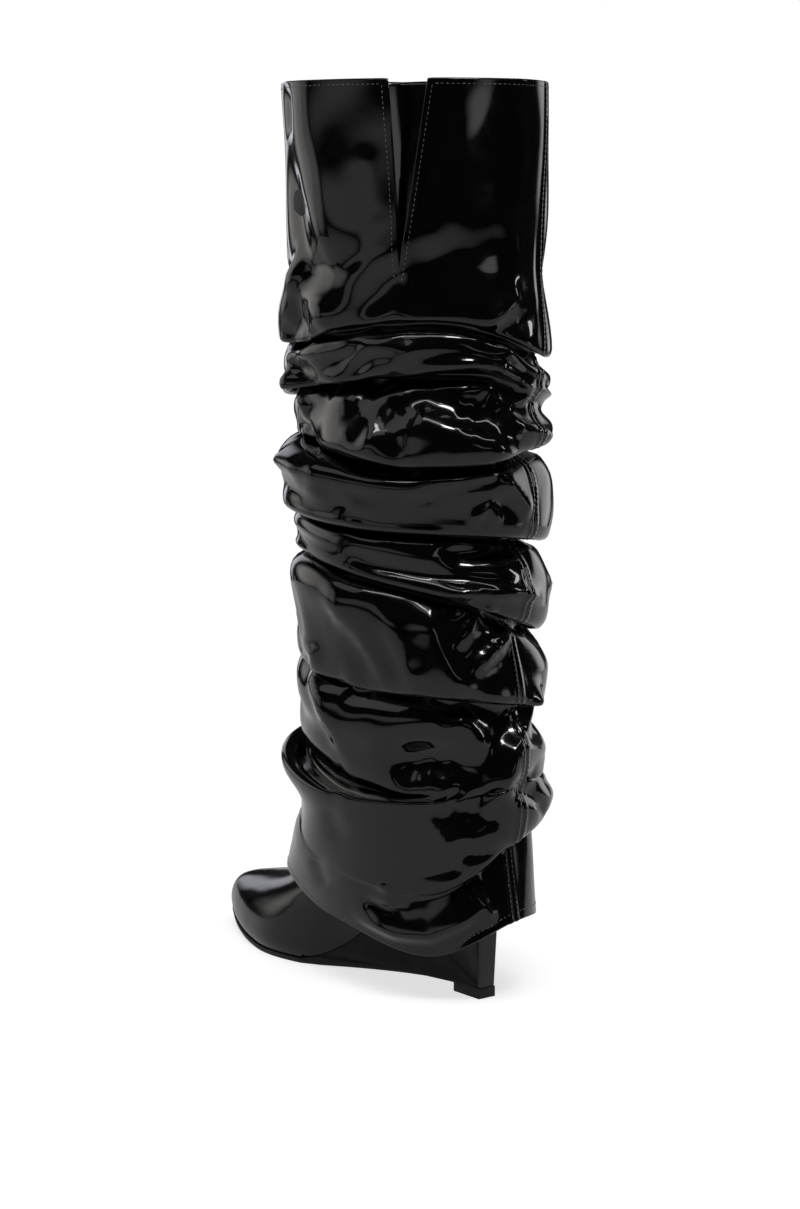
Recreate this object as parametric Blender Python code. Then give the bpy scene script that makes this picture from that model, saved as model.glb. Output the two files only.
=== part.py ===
"""Slouched wedge boot for the left foot: a foot upper on a blade wedge, under a loose pleated sleeve.

Every size is in millimetres until a mesh is made. While it is drawn, the shoe stands on z = 0 with its toe
along +Y and its lateral side along -X, and y = 0 is the back of the heel.
"""

import math

import bmesh
import bpy
import numpy as np

MM = 0.001
GAP = 0.3

# The foot: a last of this length, pitched by the heel
SHOE_LENGTH = 247.0
SEAT_HEIGHT = 70.0
OUTSOLE_THICKNESS = 3.0
OUTSOLE_LIP = 1.0
TOE_SPRING = 8.5
TREAD_REAR, TREAD_FRONT = 116.0, 166.0
WEDGE_FRONT = 128.0
UPPER_WALL = 1.6
INSOLE_THICKNESS = 2.5
INSOLE_INSET = 2.3

# The blade heel and its lift
BLADE_HALF_WIDTH = 6.0
BLADE_MIDDLE = 1.0
BLADE_LEAN = 2.5
HEEL_BACK = -1.5
BLADE_FLARE = 1.9
BLADE_LENGTH = 38.0
LIFT_HEIGHT, LIFT_LENGTH, LIFT_HALF_WIDTH = 6.7, 23.5, 6.2
LIFT_BEVEL = 0.5
HEEL_RISE = 5.0

# The sleeve that hangs over the foot
SLEEVE_HEIGHT = 525.0
SLEEVE_WALL = 1.8
SEAM_STEP, SEAM_HALF_WIDTH = 0.9, 3.0
NOTCH_AZIMUTH, NOTCH_WIDTH, NOTCH_DEPTH = 82.5, 25.0, 108.0
NOTCH_LEAN = 3.0
GUSSET_WALL, GUSSET_MARGIN, GUSSET_PLEAT = 1.2, 5.0, 7.0

STATION_STEP = 10.0
STATIONS = np.arange(0.0, 180.1, STATION_STEP)
SLEEVE_COLUMNS = 44

# Last bottom: height of the seat line above the floor along the shoe
SEAT_LINE = (
    # y, height
    (0.0, 70.0),
    (20.0, 65.0),
    (40.0, 55.5),
    (60.0, 42.5),
    (80.0, 28.0),
    (100.0, 14.0),
    (115.0, 6.6),
    (128.0, 3.0),
)

# Feather line: half widths over the sine of the station, from the heel at 0 to the toe at 180
FEATHER = (
    # station, lateral, medial
    (0.0, 52.0, 52.0),
    (30.0, 45.0, 45.0),
    (45.0, 38.0, 38.0),
    (60.0, 30.0, 29.0),
    (75.0, 28.5, 23.5),
    (90.0, 38.0, 30.0),
    (105.0, 44.0, 37.5),
    (120.0, 42.5, 39.5),
    (135.0, 38.5, 39.5),
    (150.0, 34.0, 38.0),
    (165.0, 33.0, 37.0),
    (180.0, 33.0, 37.0),
)

# Rings of the foot upper, from the feather line to the ankle collar
UPPER_RINGS = (
    # back_y, back_z, front_y, front_z, ankle share, swell, sag
    (0.0, 70.3, 247.0, 11.8, 0.00, 0.0, 1.00),
    (-1.4, 76.0, 248.4, 17.0, 0.01, 2.2, 0.99),
    (-2.4, 83.0, 246.4, 24.0, 0.03, 2.6, 0.96),
    (-3.0, 90.0, 240.5, 29.8, 0.07, 1.8, 0.90),
    (-3.2, 96.0, 230.0, 33.8, 0.13, 0.8, 0.83),
    (-3.2, 101.0, 215.0, 37.2, 0.22, 0.0, 0.74),
    (-3.0, 106.0, 198.0, 41.0, 0.33, 0.0, 0.64),
    (-2.6, 111.0, 181.0, 46.0, 0.45, 0.0, 0.54),
    (-2.0, 116.0, 164.0, 54.0, 0.58, 0.0, 0.43),
    (-1.0, 122.0, 147.0, 67.0, 0.72, 0.0, 0.30),
    (0.5, 129.0, 133.0, 84.0, 0.84, 0.0, 0.18),
    (2.5, 138.0, 123.0, 104.0, 0.93, 0.0, 0.08),
    (5.0, 150.0, 116.0, 128.0, 1.00, 0.0, 0.00),
)
ANKLE_HALF_WIDTH = 35.0

# The sleeve's plain oval at each height, turned about the upright
SLEEVE_SECTIONS = (
    # height, centre_x, centre_y, half_length, half_width, turn in degrees
    (20.0, 3.0, 84.0, 97.0, 53.0, 2.0),
    (60.0, 3.0, 80.0, 92.0, 54.0, 4.0),
    (110.0, 3.0, 73.0, 83.0, 57.0, 7.0),
    (170.0, 2.0, 68.0, 75.0, 60.0, 10.0),
    (260.0, 0.0, 66.0, 75.0, 60.0, 16.0),
    (360.0, 0.0, 65.0, 76.0, 58.0, 24.0),
    (440.0, -1.0, 64.0, 77.0, 56.0, 30.0),
    (525.0, -1.0, 64.0, 77.5, 55.0, 36.0),
)
SLEEVE_FULLNESS = 2.15

# Heights of the hem, at every eighth of a turn from the back seam by way of the lateral side
EIGHTH = 45.0
HEM_LINE = (48.0, 28.0, 41.0, 57.0, 54.0, 57.0, 42.0, 36.0)

# Folds from the top down. Each crease has its height, how far it tucks in and how far the lip over it
# stands proud, at every eighth of a turn; the lip lies lip_rise above it, the shoulder shoulder_drop below.
FOLDS = (
    # name, lip_rise, shoulder_drop, heights, tucks, lips
    ("yoke", 9.0, 9.0,
     (372.0, 388.0, 388.0, 380.0, 384.0, 392.0, 381.0, 372.0),
     (6.0, 4.0, 4.0, 7.0, 8.0, 6.0, 6.0, 6.0),
     (6.0, 2.0, 1.0, 4.0, 4.0, 3.0, 3.0, 6.0)),
    ("upper_roll", 8.0, 9.0,
     (352.0, 362.0, 355.0, 351.0, 347.0, 357.0, 348.0, 343.0),
     (3.0, 4.0, 7.0, 9.0, 8.0, 8.0, 6.0, 3.0),
     (5.0, 2.0, 3.0, 4.0, 4.0, 4.0, 3.0, 7.0)),
    ("knee_pinch", 9.0, 9.0,
     (316.0, 309.0, 310.0, 322.0, 322.0, 312.0, 306.0, 316.0),
     (9.0, 6.0, 6.0, 12.0, 13.0, 11.0, 9.0, 9.0),
     (6.0, 2.0, 0.0, -4.0, 2.0, 4.0, 3.0, 8.0)),
    ("big_roll", 8.0, 8.0,
     (267.0, 272.0, 275.0, 283.0, 285.0, 276.0, 268.0, 262.0),
     (10.0, 8.0, 6.0, 9.0, 11.0, 10.0, 9.0, 10.0),
     (7.0, 4.0, 5.0, 8.0, 8.0, 6.0, 5.0, 9.0)),
    ("middle_roll", 8.0, 9.0,
     (224.0, 236.0, 245.0, 258.0, 258.0, 246.0, 232.0, 213.0),
     (10.0, 7.0, 6.0, 6.0, 8.0, 9.0, 9.0, 11.0),
     (7.0, 3.0, 1.0, -3.0, 2.0, 4.0, 4.0, 8.0)),
    ("long_panel", 10.0, 10.0,
     (170.0, 178.0, 180.0, 190.0, 204.0, 198.0, 184.0, 165.0),
     (8.0, 4.0, 2.0, 2.0, 5.0, 7.0, 7.0, 8.0),
     (7.0, 2.0, 1.0, 0.0, 3.0, 4.0, 3.0, 7.0)),
    ("cup", 12.0, 6.0,
     (128.0, 119.0, 119.0, 134.0, 142.0, 138.0, 124.0, 126.0),
     (2.0, 4.0, 7.0, 8.0, 8.0, 8.0, 6.0, 2.0),
     (2.0, -1.0, -3.0, -3.0, -3.0, -3.0, -1.0, 4.0)),
    ("skirt", 9.0, 8.0,
     (91.0, 62.0, 68.0, 88.0, 92.0, 86.0, 74.0, 97.0),
     (-1.0, 2.0, 1.0, 9.0, 14.0, 8.0, 2.0, -1.0),
     (11.0, 6.0, 2.0, -7.0, -12.0, -6.0, 3.0, 12.0)),
)
CUP_RIM = (3.0, 4.0, 7.0, 6.0, 5.0, 5.0, 4.0, 3.0)
HEM_FLARE = (4.0, 1.0, 0.0, -1.0, -1.0, -1.0, 0.0, 3.0)
SHOULDER_SHARE = 0.35
BELLY_SWELL = 2.0
RIM_ROWS = (0.0, 6.0, 30.0, 70.0, 105.0)


def clear_scene():
    for thing in list(bpy.data.objects):
        bpy.data.objects.remove(thing, do_unlink=True)


def finish_of(name, colour, roughness):
    """A Principled material of one colour."""
    made = bpy.data.materials.new(name)
    made.use_nodes = True
    shader = made.node_tree.nodes["Principled BSDF"]
    shader.inputs["Base Color"].default_value = (*colour, 1.0)
    shader.inputs["Roughness"].default_value = roughness
    shader.inputs["Metallic"].default_value = 0.0
    return made


def smooth_curve(knots, values, at):
    """A cubic through the knots, with slopes taken from their neighbours."""
    knots, values, at = (np.asarray(part, float) for part in (knots, values, at))
    slopes = np.gradient(values, knots)
    place = np.clip(np.searchsorted(knots, at, side="right") - 1, 0, len(knots) - 2)
    span = knots[place + 1] - knots[place]
    t = np.clip((at - knots[place]) / span, 0.0, 1.0)
    ease = t * t * (3.0 - 2.0 * t)
    first = slopes[place] * span * t * (1.0 - t) ** 2
    last = slopes[place + 1] * span * t * t * (t - 1.0)
    return values[place] * (1.0 - ease) + values[place + 1] * ease + first + last


def column(table, number, at):
    """One column of a table, read along its first column."""
    rows = np.array(table, float)
    return smooth_curve(rows[:, 0], rows[:, number], at)


def around(eighths, azimuth):
    """Values given at every eighth of a turn, read at any azimuth in degrees."""
    turns = np.arange(-2, 11) * EIGHTH
    values = np.take(np.asarray(eighths, float), np.arange(-2, 11), mode="wrap")
    return smooth_curve(turns, values, np.mod(azimuth, 360.0))


def station_y(station):
    return SHOE_LENGTH * (1.0 - np.cos(np.radians(station))) / 2.0


def station_at(y):
    return np.degrees(np.arccos(np.clip(1.0 - 2.0 * np.asarray(y, float) / SHOE_LENGTH, -1.0, 1.0)))


def tread_height(y):
    """Underside of the sole: flat at the ball, sprung at the toe, raised to the lift at the heel."""
    toe = np.clip((y - TREAD_FRONT) / (SHOE_LENGTH - TREAD_FRONT), 0.0, 1.0)
    heel = np.clip((TREAD_REAR - y) / (TREAD_REAR - LIFT_LENGTH), 0.0, 1.0)
    return TOE_SPRING * toe ** 1.6 + HEEL_RISE * heel


def outsole_top(y):
    heel = np.clip((TREAD_REAR - y) / (TREAD_REAR - LIFT_LENGTH), 0.0, 1.0)
    return tread_height(y) + OUTSOLE_THICKNESS * (1.0 - heel) + (LIFT_HEIGHT - HEEL_RISE) * heel


def seat_height(y):
    """Top of the sole, as straight runs between the stations, so that what rests on it follows it."""
    knots = station_y(STATIONS)
    front = outsole_top(knots)
    behind = column(SEAT_LINE, 1, np.minimum(knots, WEDGE_FRONT))
    return np.interp(y, knots, np.where(knots < WEDGE_FRONT, np.maximum(front + 0.5, behind), front))


def feather(station, side):
    """Half width of the last's edge; side is 1 for lateral and 2 for medial."""
    return column(FEATHER, side, station) * np.sin(np.radians(station))


def keel(y, side):
    """Half width of the sole's edge: the feather line at the ball, drawn in to the blade behind it."""
    full = feather(station_at(np.maximum(y, WEDGE_FRONT)), side) + OUTSOLE_LIP
    share = np.clip((y - BLADE_LENGTH) / (WEDGE_FRONT - BLADE_LENGTH), 0.0, 1.0) ** 1.5
    blade = BLADE_HALF_WIDTH + (BLADE_MIDDLE if side == 2 else -BLADE_MIDDLE)
    return blade + (full - blade) * share


def skin(name, rings, finish, closed_ends=False):
    """An object from rings of points in millimetres. Each ring closes on itself; the ends are capped, or the
    last ring runs back into the first."""
    rings = np.asarray(rings, float)
    if closed_ends:
        rings = np.concatenate([rings, rings[:1]])
    rings = np.concatenate([rings, rings[:, :1]], axis=1)
    down, across = rings.shape[0] - 1, rings.shape[1] - 1
    mesh = bmesh.new()
    bmesh.ops.create_grid(mesh, x_segments=across, y_segments=down, size=1.0)
    for vertex in mesh.verts:
        i = round((vertex.co.x + 1.0) / 2.0 * across)
        j = round((vertex.co.y + 1.0) / 2.0 * down)
        vertex.co = rings[j, i] * MM
    bmesh.ops.remove_doubles(mesh, verts=mesh.verts, dist=0.00001)
    if not closed_ends:
        bmesh.ops.holes_fill(mesh, edges=[e for e in mesh.edges if e.is_boundary], sides=0)
    return finished(name, mesh, finish)


def finished(name, mesh, finish):
    """An object of a bmesh, its faces turned out and its round parts shaded smooth."""
    bmesh.ops.recalc_face_normals(mesh, faces=mesh.faces)
    data = bpy.data.meshes.new(name)
    mesh.to_mesh(data)
    mesh.free()
    data.shade_smooth()
    data.set_sharp_from_angle(angle=math.radians(40.0))
    made = bpy.data.objects.new(name, data)
    made.data.materials.append(finish)
    bpy.context.scene.collection.objects.link(made)
    return made


def loop_of(lateral, medial):
    """A ring from the back by way of the lateral side to the toe, and back by the medial side."""
    return np.concatenate([lateral, medial[::-1][1:-1]])


def upper_ring(share):
    """One ring of the foot upper, share being 0 at the feather line and 1 at the collar."""
    rows = np.array(UPPER_RINGS)
    at = np.linspace(0.0, 1.0, len(rows))
    back_y, back_z, front_y, front_z, ankle, swell, sag = (
        float(smooth_curve(at, rows[:, k], share)) for k in range(rows.shape[1])
    )
    along = (1.0 - np.cos(np.radians(STATIONS))) / 2.0
    y = back_y + (front_y - back_y) * along
    chord = back_z + (front_z - back_z) * along
    dip = seat_height(SHOE_LENGTH * along) - (SEAT_HEIGHT + (seat_height(SHOE_LENGTH) - SEAT_HEIGHT) * along)
    z = chord + sag * dip
    sides = []
    for side, sign in ((1, -1.0), (2, 1.0)):
        foot = feather(STATIONS, side) + swell * np.sin(np.radians(STATIONS))
        leg = ANKLE_HALF_WIDTH * np.sin(np.radians(STATIONS))
        x = sign * (foot * (1.0 - ankle) + leg * ankle)
        sides.append(np.stack([x, y, z], axis=-1))
    return loop_of(*sides)


def make_upper(finish):
    """The foot upper: an open skin from the feather line to the ankle, with its wall on the inside."""
    shares = np.linspace(0.0, 1.0, 2 * len(UPPER_RINGS) - 9)
    rings = np.array([upper_ring(share) for share in shares])
    rings[0, :, 2] = seat_height(rings[0, :, 1]) + GAP
    rings = np.concatenate([rings, rings[:, :1]], axis=1)
    down, across = rings.shape[0] - 1, rings.shape[1] - 1
    mesh = bmesh.new()
    bmesh.ops.create_grid(mesh, x_segments=across, y_segments=down, size=1.0)
    for vertex in mesh.verts:
        i = round((vertex.co.x + 1.0) / 2.0 * across)
        j = round((vertex.co.y + 1.0) / 2.0 * down)
        vertex.co = rings[j, i] * MM
    bmesh.ops.remove_doubles(mesh, verts=mesh.verts, dist=0.00001)
    made = finished("upper", mesh, finish)
    wall = made.modifiers.new("wall", "SOLIDIFY")
    wall.thickness = UPPER_WALL * MM
    wall.offset = -1.0
    return made


def make_insole(finish):
    """A thin board on the sole, its edge set in from the feather line all round."""
    inside = STATIONS[1:-1]
    edges = []
    for side, sign in ((1, -1.0), (2, 1.0)):
        x, y = sign * feather(STATIONS, side), station_y(STATIONS)
        along = np.stack([np.gradient(x), np.gradient(y)], axis=-1)
        along /= np.linalg.norm(along, axis=1, keepdims=True)
        x, y = x - sign * along[:, 1] * INSOLE_INSET, y + sign * along[:, 0] * INSOLE_INSET
        base = seat_height(y) + GAP
        edges.append(np.stack([x, y, base], axis=-1)[1:-1])
    lift = np.array([0.0, 0.0, INSOLE_THICKNESS])
    lateral, medial = edges
    rings = [[lateral[k], lateral[k] + lift, medial[k] + lift, medial[k]] for k in range(len(inside))]
    return skin("insole", rings, finish)


def make_outsole(finish):
    """The thin outsole: full at the forefoot, drawn in to a strip along the wedge, ending at the lift."""
    front = station_y(np.append(STATIONS[1:-1], (175.0, 178.5)))
    strip = np.array([LIFT_LENGTH + GAP, 30.0, BLADE_LENGTH, 52.0, 70.0, 90.0, 105.0, TREAD_REAR])
    places = np.unique(np.concatenate([strip, front[front > TREAD_REAR + 3.0]]))
    rings = []
    for y in places:
        lateral, medial = float(keel(y, 1)), float(keel(y, 2))
        low, high = float(tread_height(y)), float(min(outsole_top(y), seat_height(y)))
        chamfer = min(0.8, 0.3 * (high - low))
        rings.append([
            (-lateral + chamfer, y, low),
            (-lateral, y, low + chamfer),
            (-lateral, y, high),
            (medial, y, high),
            (medial, y, low + chamfer),
            (medial - chamfer, y, low),
        ])
    return skin("outsole", rings, finish)


def make_wedge(finish):
    """The covered wedge: a flat-backed blade at the heel that spreads into the ball and flares to the seat."""
    knots = station_y(STATIONS)
    near_back = (0.0, 1.5, 4.0)
    places = np.unique(np.concatenate([near_back, [LIFT_LENGTH + 1.0], knots[1:][knots[1:] < WEDGE_FRONT],
                                       [WEDGE_FRONT - 0.5]]))
    levels = np.array([0.0, 0.3, 0.55, 0.72, 0.86, 1.0])
    rings = []
    for y in places:
        low = max(float(outsole_top(y)), LIFT_HEIGHT if y <= LIFT_LENGTH + 1.0 else 0.0) + GAP
        high = float(seat_height(y))
        sides = []
        for side, sign in ((1, -1.0), (2, 1.0)):
            seat = max(float(feather(station_at(y), side)) - 0.4, BLADE_HALF_WIDTH + BLADE_FLARE + 2.0)
            blade = float(keel(y, side)) - 0.4
            width = blade + BLADE_FLARE * levels + np.maximum(seat - blade - BLADE_FLARE, 0.0) * levels ** 5
            z = low + (high - low) * levels
            lean = (BLADE_LEAN * levels * (1.0 - levels ** 4) - HEEL_BACK) * max(1.0 - y / BLADE_LENGTH, 0.0)
            sides.append(np.stack([sign * width, y - lean, z], axis=-1))
        rings.append(np.concatenate([sides[0], sides[1][::-1]]))
    return skin("wedge", rings, finish)


def make_lift(finish):
    """The heel's lift, a bevelled block that meets the floor."""
    mesh = bmesh.new()
    bmesh.ops.create_cube(mesh, size=1.0)
    size = np.array([2.0 * LIFT_HALF_WIDTH, LIFT_LENGTH, LIFT_HEIGHT]) * MM
    bmesh.ops.scale(mesh, verts=mesh.verts, vec=size)
    middle = (BLADE_MIDDLE * MM, HEEL_BACK * MM + size[1] / 2.0, size[2] / 2.0)
    bmesh.ops.translate(mesh, verts=mesh.verts, vec=middle)
    upright = [e for e in mesh.edges if abs(e.verts[0].co.z - e.verts[1].co.z) > size[2] / 2.0]
    bmesh.ops.bevel(mesh, geom=upright, offset=LIFT_BEVEL * MM, segments=2, profile=0.5, affect="EDGES",
                    material=-1)
    return finished("top_lift", mesh, finish)


def sleeve_rows(azimuth):
    """Heights and offsets from the plain oval, row by row from the rim to the hem, at one azimuth."""
    folds = [(rise, drop, around(heights, azimuth), around(tucks, azimuth), around(lips, azimuth))
             for _, rise, drop, heights, tucks, lips in FOLDS]
    cup_rim = around(CUP_RIM, azimuth)
    heights = [SLEEVE_HEIGHT - fall for fall in RIM_ROWS]
    offsets = [0.0] * len(RIM_ROWS)
    for number, (rise, drop, crease, tuck, lip) in enumerate(folds):
        is_cup = FOLDS[number][0] == "cup"
        heights += [crease + rise, crease, crease - drop]
        offsets += [lip, -tuck, cup_rim if is_cup else -SHOULDER_SHARE * tuck]
        if number + 1 < len(folds):
            next_rise, _, next_crease, _, next_lip = folds[number + 1]
            heights.append((crease - drop + next_crease + next_rise) / 2.0)
            offsets.append((offsets[-1] + next_lip) / 2.0 + BELLY_SWELL)
    hem = around(HEM_LINE, azimuth)
    last_height, last_offset = heights[-1], offsets[-1]
    heights += [(last_height + hem) / 2.0, hem]
    flare = around(HEM_FLARE, azimuth)
    offsets += [(last_offset + flare) / 2.0, flare]
    return np.array(heights, float), np.array(offsets, float)


def sleeve_point(azimuth, height, offset):
    """A point of the sleeve: offset stands out from the oval at that height and azimuth."""
    cx, cy, length, width, turn = (column(SLEEVE_SECTIONS, k, height) for k in range(1, 6))
    angle, turn = np.radians(azimuth), np.radians(turn)
    power = 2.0 / SLEEVE_FULLNESS
    back = -(length + offset) * np.sign(np.cos(angle)) * np.abs(np.cos(angle)) ** power
    out = -(width + offset) * np.sign(np.sin(angle)) * np.abs(np.sin(angle)) ** power
    x = cx + out * np.cos(turn) - back * np.sin(turn)
    y = cy + out * np.sin(turn) + back * np.cos(turn)
    return np.stack(np.broadcast_arrays(x, y, height), axis=-1)


def sleeve_columns():
    """Azimuths of the sleeve's columns, with extra ones where the back seam's step rises."""
    plain = np.arange(SLEEVE_COLUMNS) * 360.0 / SLEEVE_COLUMNS
    radius = SLEEVE_SECTIONS[-1][3]
    edge = math.degrees(SEAM_HALF_WIDTH / radius)
    foot = math.degrees((SEAM_HALF_WIDTH + SEAM_STEP) / radius)
    return np.sort(np.concatenate([plain, [edge, foot, 360.0 - edge, 360.0 - foot]])), edge


def make_sleeve(finish):
    """The slouched sleeve: an outer and an inner wall that follow the folds, notched at the top."""
    azimuths, seam_edge = sleeve_columns()
    outer, inner = [], []
    for azimuth in azimuths:
        heights, offsets = sleeve_rows(azimuth)
        on_seam = min(azimuth, 360.0 - azimuth) <= seam_edge + 1e-6
        raised = offsets + (SEAM_STEP if on_seam else 0.0)
        outer.append(sleeve_point(azimuth, heights, raised))
        inner.append(sleeve_point(azimuth, heights, offsets - SLEEVE_WALL))
    outer, inner = np.array(outer).swapaxes(0, 1), np.array(inner).swapaxes(0, 1)
    made = skin("shaft", np.concatenate([outer, inner[::-1]]), finish, closed_ends=True)
    cut = made.modifiers.new("notch", "BOOLEAN")
    cut.operation = "DIFFERENCE"
    cut.object = notch_cutter()
    cut.object.parent = made
    return made


def notch_cutter():
    """A prism through the lateral wall, its edge down at the notch's point."""
    above, reach = 6.0, 30.0
    top = SLEEVE_HEIGHT + above
    half = NOTCH_WIDTH / 2.0 * (NOTCH_DEPTH + above) / NOTCH_DEPTH
    middle = sleeve_point(NOTCH_AZIMUTH, SLEEVE_HEIGHT, 0.0)
    ahead = sleeve_point(NOTCH_AZIMUTH + 4.0, SLEEVE_HEIGHT, 0.0)
    along = (ahead - middle) / np.linalg.norm(ahead - middle)
    out = np.array([along[1], -along[0], 0.0])
    flat = np.array([1.0, 1.0, 0.0])
    rings = []
    for depth in (-reach, reach):
        base = middle * flat + out * depth
        point = base + along * NOTCH_LEAN + np.array([0.0, 0.0, SLEEVE_HEIGHT - NOTCH_DEPTH])
        left = base + along * half + np.array([0.0, 0.0, top])
        right = base - along * half + np.array([0.0, 0.0, top])
        rings.append([point, left, right])
    made = skin("notch_cutter", rings, bpy.data.materials["patent"])
    made.hide_render = True
    made.display_type = "WIRE"
    return made


def make_gusset(finish):
    """The pleated insert behind the notch, its middle drawn in."""
    radius = SLEEVE_SECTIONS[-1][4]
    drops = np.array([3.0, 40.0, 80.0, NOTCH_DEPTH + GUSSET_MARGIN])
    across = np.array([-1.0, -0.5, 0.0, 0.5, 1.0])
    clear = SLEEVE_WALL + 0.5
    rings = []
    for drop in drops:
        open_width = NOTCH_WIDTH / 2.0 * max(1.0 - drop / NOTCH_DEPTH, 0.0)
        azimuths = NOTCH_AZIMUTH + np.degrees(across * (open_width + GUSSET_MARGIN) / radius)
        pleat = GUSSET_PLEAT * (1.0 - np.abs(across)) * open_width / (NOTCH_WIDTH / 2.0)
        face = sleeve_point(azimuths, np.full(5, SLEEVE_HEIGHT - drop), -clear - pleat)
        back = sleeve_point(azimuths, np.full(5, SLEEVE_HEIGHT - drop), -clear - pleat - GUSSET_WALL)
        rings.append(np.concatenate([face, back[::-1]]))
    return skin("gusset", rings, finish)


def stand_on_origin(pieces):
    """Hangs the pieces on an empty that puts the middle of their box, on the floor, at the origin."""
    corners = np.array([corner for piece in pieces for corner in piece.bound_box])
    low, high = corners.min(axis=0), corners.max(axis=0)
    boot = bpy.data.objects.new("boot", None)
    bpy.context.scene.collection.objects.link(boot)
    boot.location = (-(low[0] + high[0]) / 2.0, -(low[1] + high[1]) / 2.0, -low[2])
    for piece in pieces:
        piece.parent = boot


def main():
    clear_scene()
    patent = finish_of("patent", (0.012, 0.012, 0.014), 0.06)
    heel_cover = finish_of("heel_cover", (0.016, 0.017, 0.019), 0.18)
    rubber = finish_of("rubber", (0.014, 0.014, 0.015), 0.55)
    board = finish_of("board", (0.03, 0.028, 0.027), 0.6)
    pieces = [
        make_outsole(rubber),
        make_wedge(heel_cover),
        make_lift(rubber),
        make_insole(board),
        make_upper(patent),
        make_sleeve(patent),
        make_gusset(patent),
    ]
    bpy.context.view_layer.update()
    stand_on_origin(pieces)


main()
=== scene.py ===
"""Looks of the slouched patent wedge boot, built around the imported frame.

Sizes are in millimetres in the shoe's own frame, as in the part's source: the floor is z = 0, the toe points
along +Y, the lateral side is -X, and y = 0 is the back of the seat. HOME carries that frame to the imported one.
"""

import math

import bmesh
import bpy
import numpy as np
from mathutils import Matrix, Vector


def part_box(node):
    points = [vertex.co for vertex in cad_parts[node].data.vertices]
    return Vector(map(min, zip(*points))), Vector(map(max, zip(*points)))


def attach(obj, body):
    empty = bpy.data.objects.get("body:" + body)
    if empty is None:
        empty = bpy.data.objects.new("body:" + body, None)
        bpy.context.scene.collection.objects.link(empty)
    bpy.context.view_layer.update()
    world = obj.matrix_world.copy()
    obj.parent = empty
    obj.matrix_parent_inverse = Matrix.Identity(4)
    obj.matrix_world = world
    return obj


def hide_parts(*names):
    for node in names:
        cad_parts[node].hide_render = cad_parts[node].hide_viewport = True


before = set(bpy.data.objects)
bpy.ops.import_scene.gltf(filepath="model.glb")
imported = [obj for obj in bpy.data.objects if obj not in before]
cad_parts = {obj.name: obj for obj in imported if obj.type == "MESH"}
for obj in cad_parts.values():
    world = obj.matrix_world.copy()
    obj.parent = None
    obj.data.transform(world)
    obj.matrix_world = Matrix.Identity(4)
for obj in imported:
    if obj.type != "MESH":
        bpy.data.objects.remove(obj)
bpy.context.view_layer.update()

MM = 0.001
TURN, HALF_TURN, QUARTER_TURN = 360.0, 180.0, 90.0
TINY, SLIVER = 1e-6, 1e-9
WHITE = (1.0, 1.0, 1.0)

# The foot
SHOE_LENGTH = 247.0
SEAT_HEIGHT = 70.0
OUTSOLE_THICKNESS = 3.0
OUTSOLE_LIP = 1.0
TOE_SPRING, TOE_CURVE = 8.5, 1.6
TREAD_REAR, TREAD_FRONT = 116.0, 166.0
WEDGE_FRONT = 128.0
UPPER_WALL = 1.6
INSOLE_THICKNESS, INSOLE_WALL = 2.5, 1.2
INSOLE_INSET, INSOLE_END, INSOLE_LEAST = 2.3, 3.0, 0.5
INSOLE_EDGE, INSOLE_CROWN, CROWN_SQUARENESS = 0.55, 0.45, 8
GAP = 0.3

# The blade heel and its lift
BLADE_HALF_WIDTH = 6.0
BLADE_MIDDLE = 1.0
BLADE_LEAN = 2.5
HEEL_BACK = -1.5
BLADE_FLARE = 1.9
BLADE_LENGTH = 38.0
BLADE_CORNER = 0.9
KEEL_CURVE, SEAT_CURVE, LEAN_CURVE = 1.5, 5, 4
LIFT_HEIGHT, LIFT_LENGTH, LIFT_HALF_WIDTH = 6.7, 23.5, 6.2
LIFT_GROOVE, LIFT_BEVEL = 0.3, 0.45
HEEL_RISE = 5.0
WEDGE_SETBACK, WEDGE_CLEAR, WEDGE_LEAST, WEDGE_INSET = 0.5, 0.1, 0.3, 0.4
SEAT_MARGIN, LIFT_MARGIN = 2.0, 1.0

# The outsole's edge, from its lateral underside round to its medial one
OUTSOLE_SECTION = (
    # side, level, inset
    (1, 0.0, 0.9),
    (1, 0.25, 0.35),
    (1, 0.7, 0.0),
    (1, 1.0, 0.15),
    (2, 1.0, 0.15),
    (2, 0.7, 0.0),
    (2, 0.25, 0.35),
    (2, 0.0, 0.9),
)
OUTSOLE_TOE = 179.0

# The sleeve
SLEEVE_HEIGHT = 525.0
SLEEVE_WALL = 1.8
SEAM_STEP, SEAM_HALF_WIDTH, SEAM_SQUARENESS = 0.9, 3.0, 6
SEAM_GROOVE, SEAM_GROOVE_WIDTH = 1.1, 0.8
NOTCH_AZIMUTH, NOTCH_WIDTH, NOTCH_DEPTH = 82.5, 21.5, 108.0
# Taken along the rim against the sleeve's own twist, which leans the notch the other way
NOTCH_LEAN = -2.5
GUSSET_DROP, GUSSET_MARGIN, GUSSET_GAP, GUSSET_WALL = 1.0, 5.0, 0.5, 1.0
GUSSET_PLEAT, GUSSET_CREASE, GUSSET_BEND = 8.0, 0.3, 1.2
# Millimetres to a degree round the sleeve, on average and at the notch
ARC, LATERAL_ARC = 1.17, 1.35

# The lining: close behind the skin and its creases near the rim, then clear of the folds, with a recess for the gusset
LINING_DROP, LINING_LENGTH, LINING_GAP = 1.0, 350.0, 0.6
LINING_CLOSE, LINING_CLEAR, LINING_CLEAR_RAMP, LINING_CREASE_RAMP = 70.0, 12.5, 40.0, 30.0
RECESS_ROOM, RECESS_RAMP, RECESS_FADE = 3.0, 9.0, 20.0

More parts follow.
